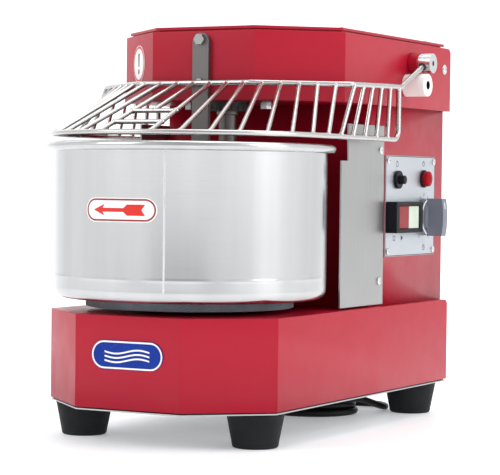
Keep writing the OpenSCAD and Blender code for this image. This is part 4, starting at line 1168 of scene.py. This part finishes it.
def add_stage():
    """A seamless pale floor, turned to face the camera, that curves up far behind the object."""
    work = bmesh.new()
    half, front, back, height, bend = 9, -4.5, 5.5, 5.0, 2.0
    profile = [(front, 0.0), (back - bend, 0.0)]
    profile += [(back - bend + bend * math.sin(a), bend - bend * math.cos(a))
                for a in (math.radians(step) for step in range(10, 100, 10))]
    profile += [(back, height)]
    rows = [[work.verts.new((x, y, z)) for y, z in profile] for x in (-half, half)]
    for i in range(len(profile) - 1):
        work.faces.new((rows[0][i], rows[1][i], rows[1][i + 1], rows[0][i + 1]))
    mesh = to_mesh("floor", work, 60)
    light_table = Shader("pale_floor", (0.90, 0.90, 0.91), 0.55, Emission_Strength=0.22)
    light_table.rough(light_table.noise(3), 0.5, 0.6)
    light_table.set("Emission Color", (0.96, 0.98, 1, 1))
    mesh.materials.append(light_table.material)
    floor = bpy.data.objects.new("floor", mesh)
    floor.rotation_euler = (0, 0, math.radians(CAMERA_AZIMUTH))
    bpy.context.scene.collection.objects.link(floor)


BODY_CENTRE = (0, 0, 0.22)
BACKDROP_LEFT = (-2.8, 4.6, 0.6)
BACKDROP_MIDDLE = (-2.2, 4.9, 0.6)


def add_light(name, place, size, power, target=BODY_CENTRE, mirrored_in_metal=True):
    """Rectangular lamp that looks at a target."""
    light = bpy.data.lights.new(name, "AREA")
    light.shape = "RECTANGLE"
    light.size, light.size_y = size
    light.energy = power
    thing = bpy.data.objects.new(name, light)
    way = Vector(target) - Vector(place)
    thing.matrix_world = Matrix.Translation(place) @ way.to_track_quat("-Z", "Y").to_matrix().to_4x4()
    thing.visible_glossy = mirrored_in_metal
    bpy.context.scene.collection.objects.link(thing)


CAMERA_RIGHT = (0.88, 0.47, 0)
# Brightness of the surroundings from the camera's far left, at 0, to its far right, at 1
WORLD_LEVELS = ((0.0, 1.1), (0.2, 0.82), (0.42, 0.61), (0.58, 0.58), (0.82, 1.0), (1.0, 1.2))


def add_world():
    """White surroundings, brighter on the camera's right and left than before and behind it."""
    world = bpy.data.worlds.new("studio")
    world.use_nodes = True
    nodes, links = world.node_tree.nodes, world.node_tree.links
    background = nodes["Background"]
    background.inputs["Color"].default_value = (1, 1, 1, 1)
    coordinates = nodes.new("ShaderNodeTexCoord")
    turn = nodes.new("ShaderNodeVectorMath")
    turn.operation = "DOT_PRODUCT"
    turn.inputs[1].default_value = CAMERA_RIGHT
    links.new(coordinates.outputs["Generated"], turn.inputs[0])
    ramp = nodes.new("ShaderNodeValToRGB")
    while len(ramp.color_ramp.elements) < len(WORLD_LEVELS):
        ramp.color_ramp.elements.new(0.5)
    for element, (position, level) in zip(ramp.color_ramp.elements, WORLD_LEVELS):
        element.position = position
        element.color = (level, level, level, 1)
    widen = nodes.new("ShaderNodeMapRange")
    for socket, number in zip(("From Min", "From Max", "To Min", "To Max"), (-1, 1, 0, 1)):
        widen.inputs[socket].default_value = number
    links.new(turn.outputs["Value"], widen.inputs["Value"])
    links.new(widen.outputs["Result"], ramp.inputs["Fac"])
    links.new(ramp.outputs["Color"], background.inputs["Strength"])
    bpy.context.scene.world = world


def add_lighting():
    """Soft lamps round the object and two that light the backdrop."""
    add_world()
    add_light("key", (-1.6, -2.2, 2.2), (1.6, 1.6), 24)
    add_light("side", (2.8, 0.1, 1.5), (1.2, 2.2), 26)
    add_light("top", (0.2, 0.6, 3.2), (2.4, 2.4), 38)
    add_light("fill", (1.6, -3.0, 0.5), (2.4, 1.0), 12, mirrored_in_metal=False)
    add_light("backdrop_left", (-3.4, 1.6, 3.4), (2.0, 2.0), 26, BACKDROP_LEFT)
    add_light("backdrop_right", (-0.8, 2.8, 3.4), (2.0, 2.0), 22, BACKDROP_MIDDLE)
    bpy.context.scene.view_settings.view_transform = "Standard"


add_stage()
add_lighting()
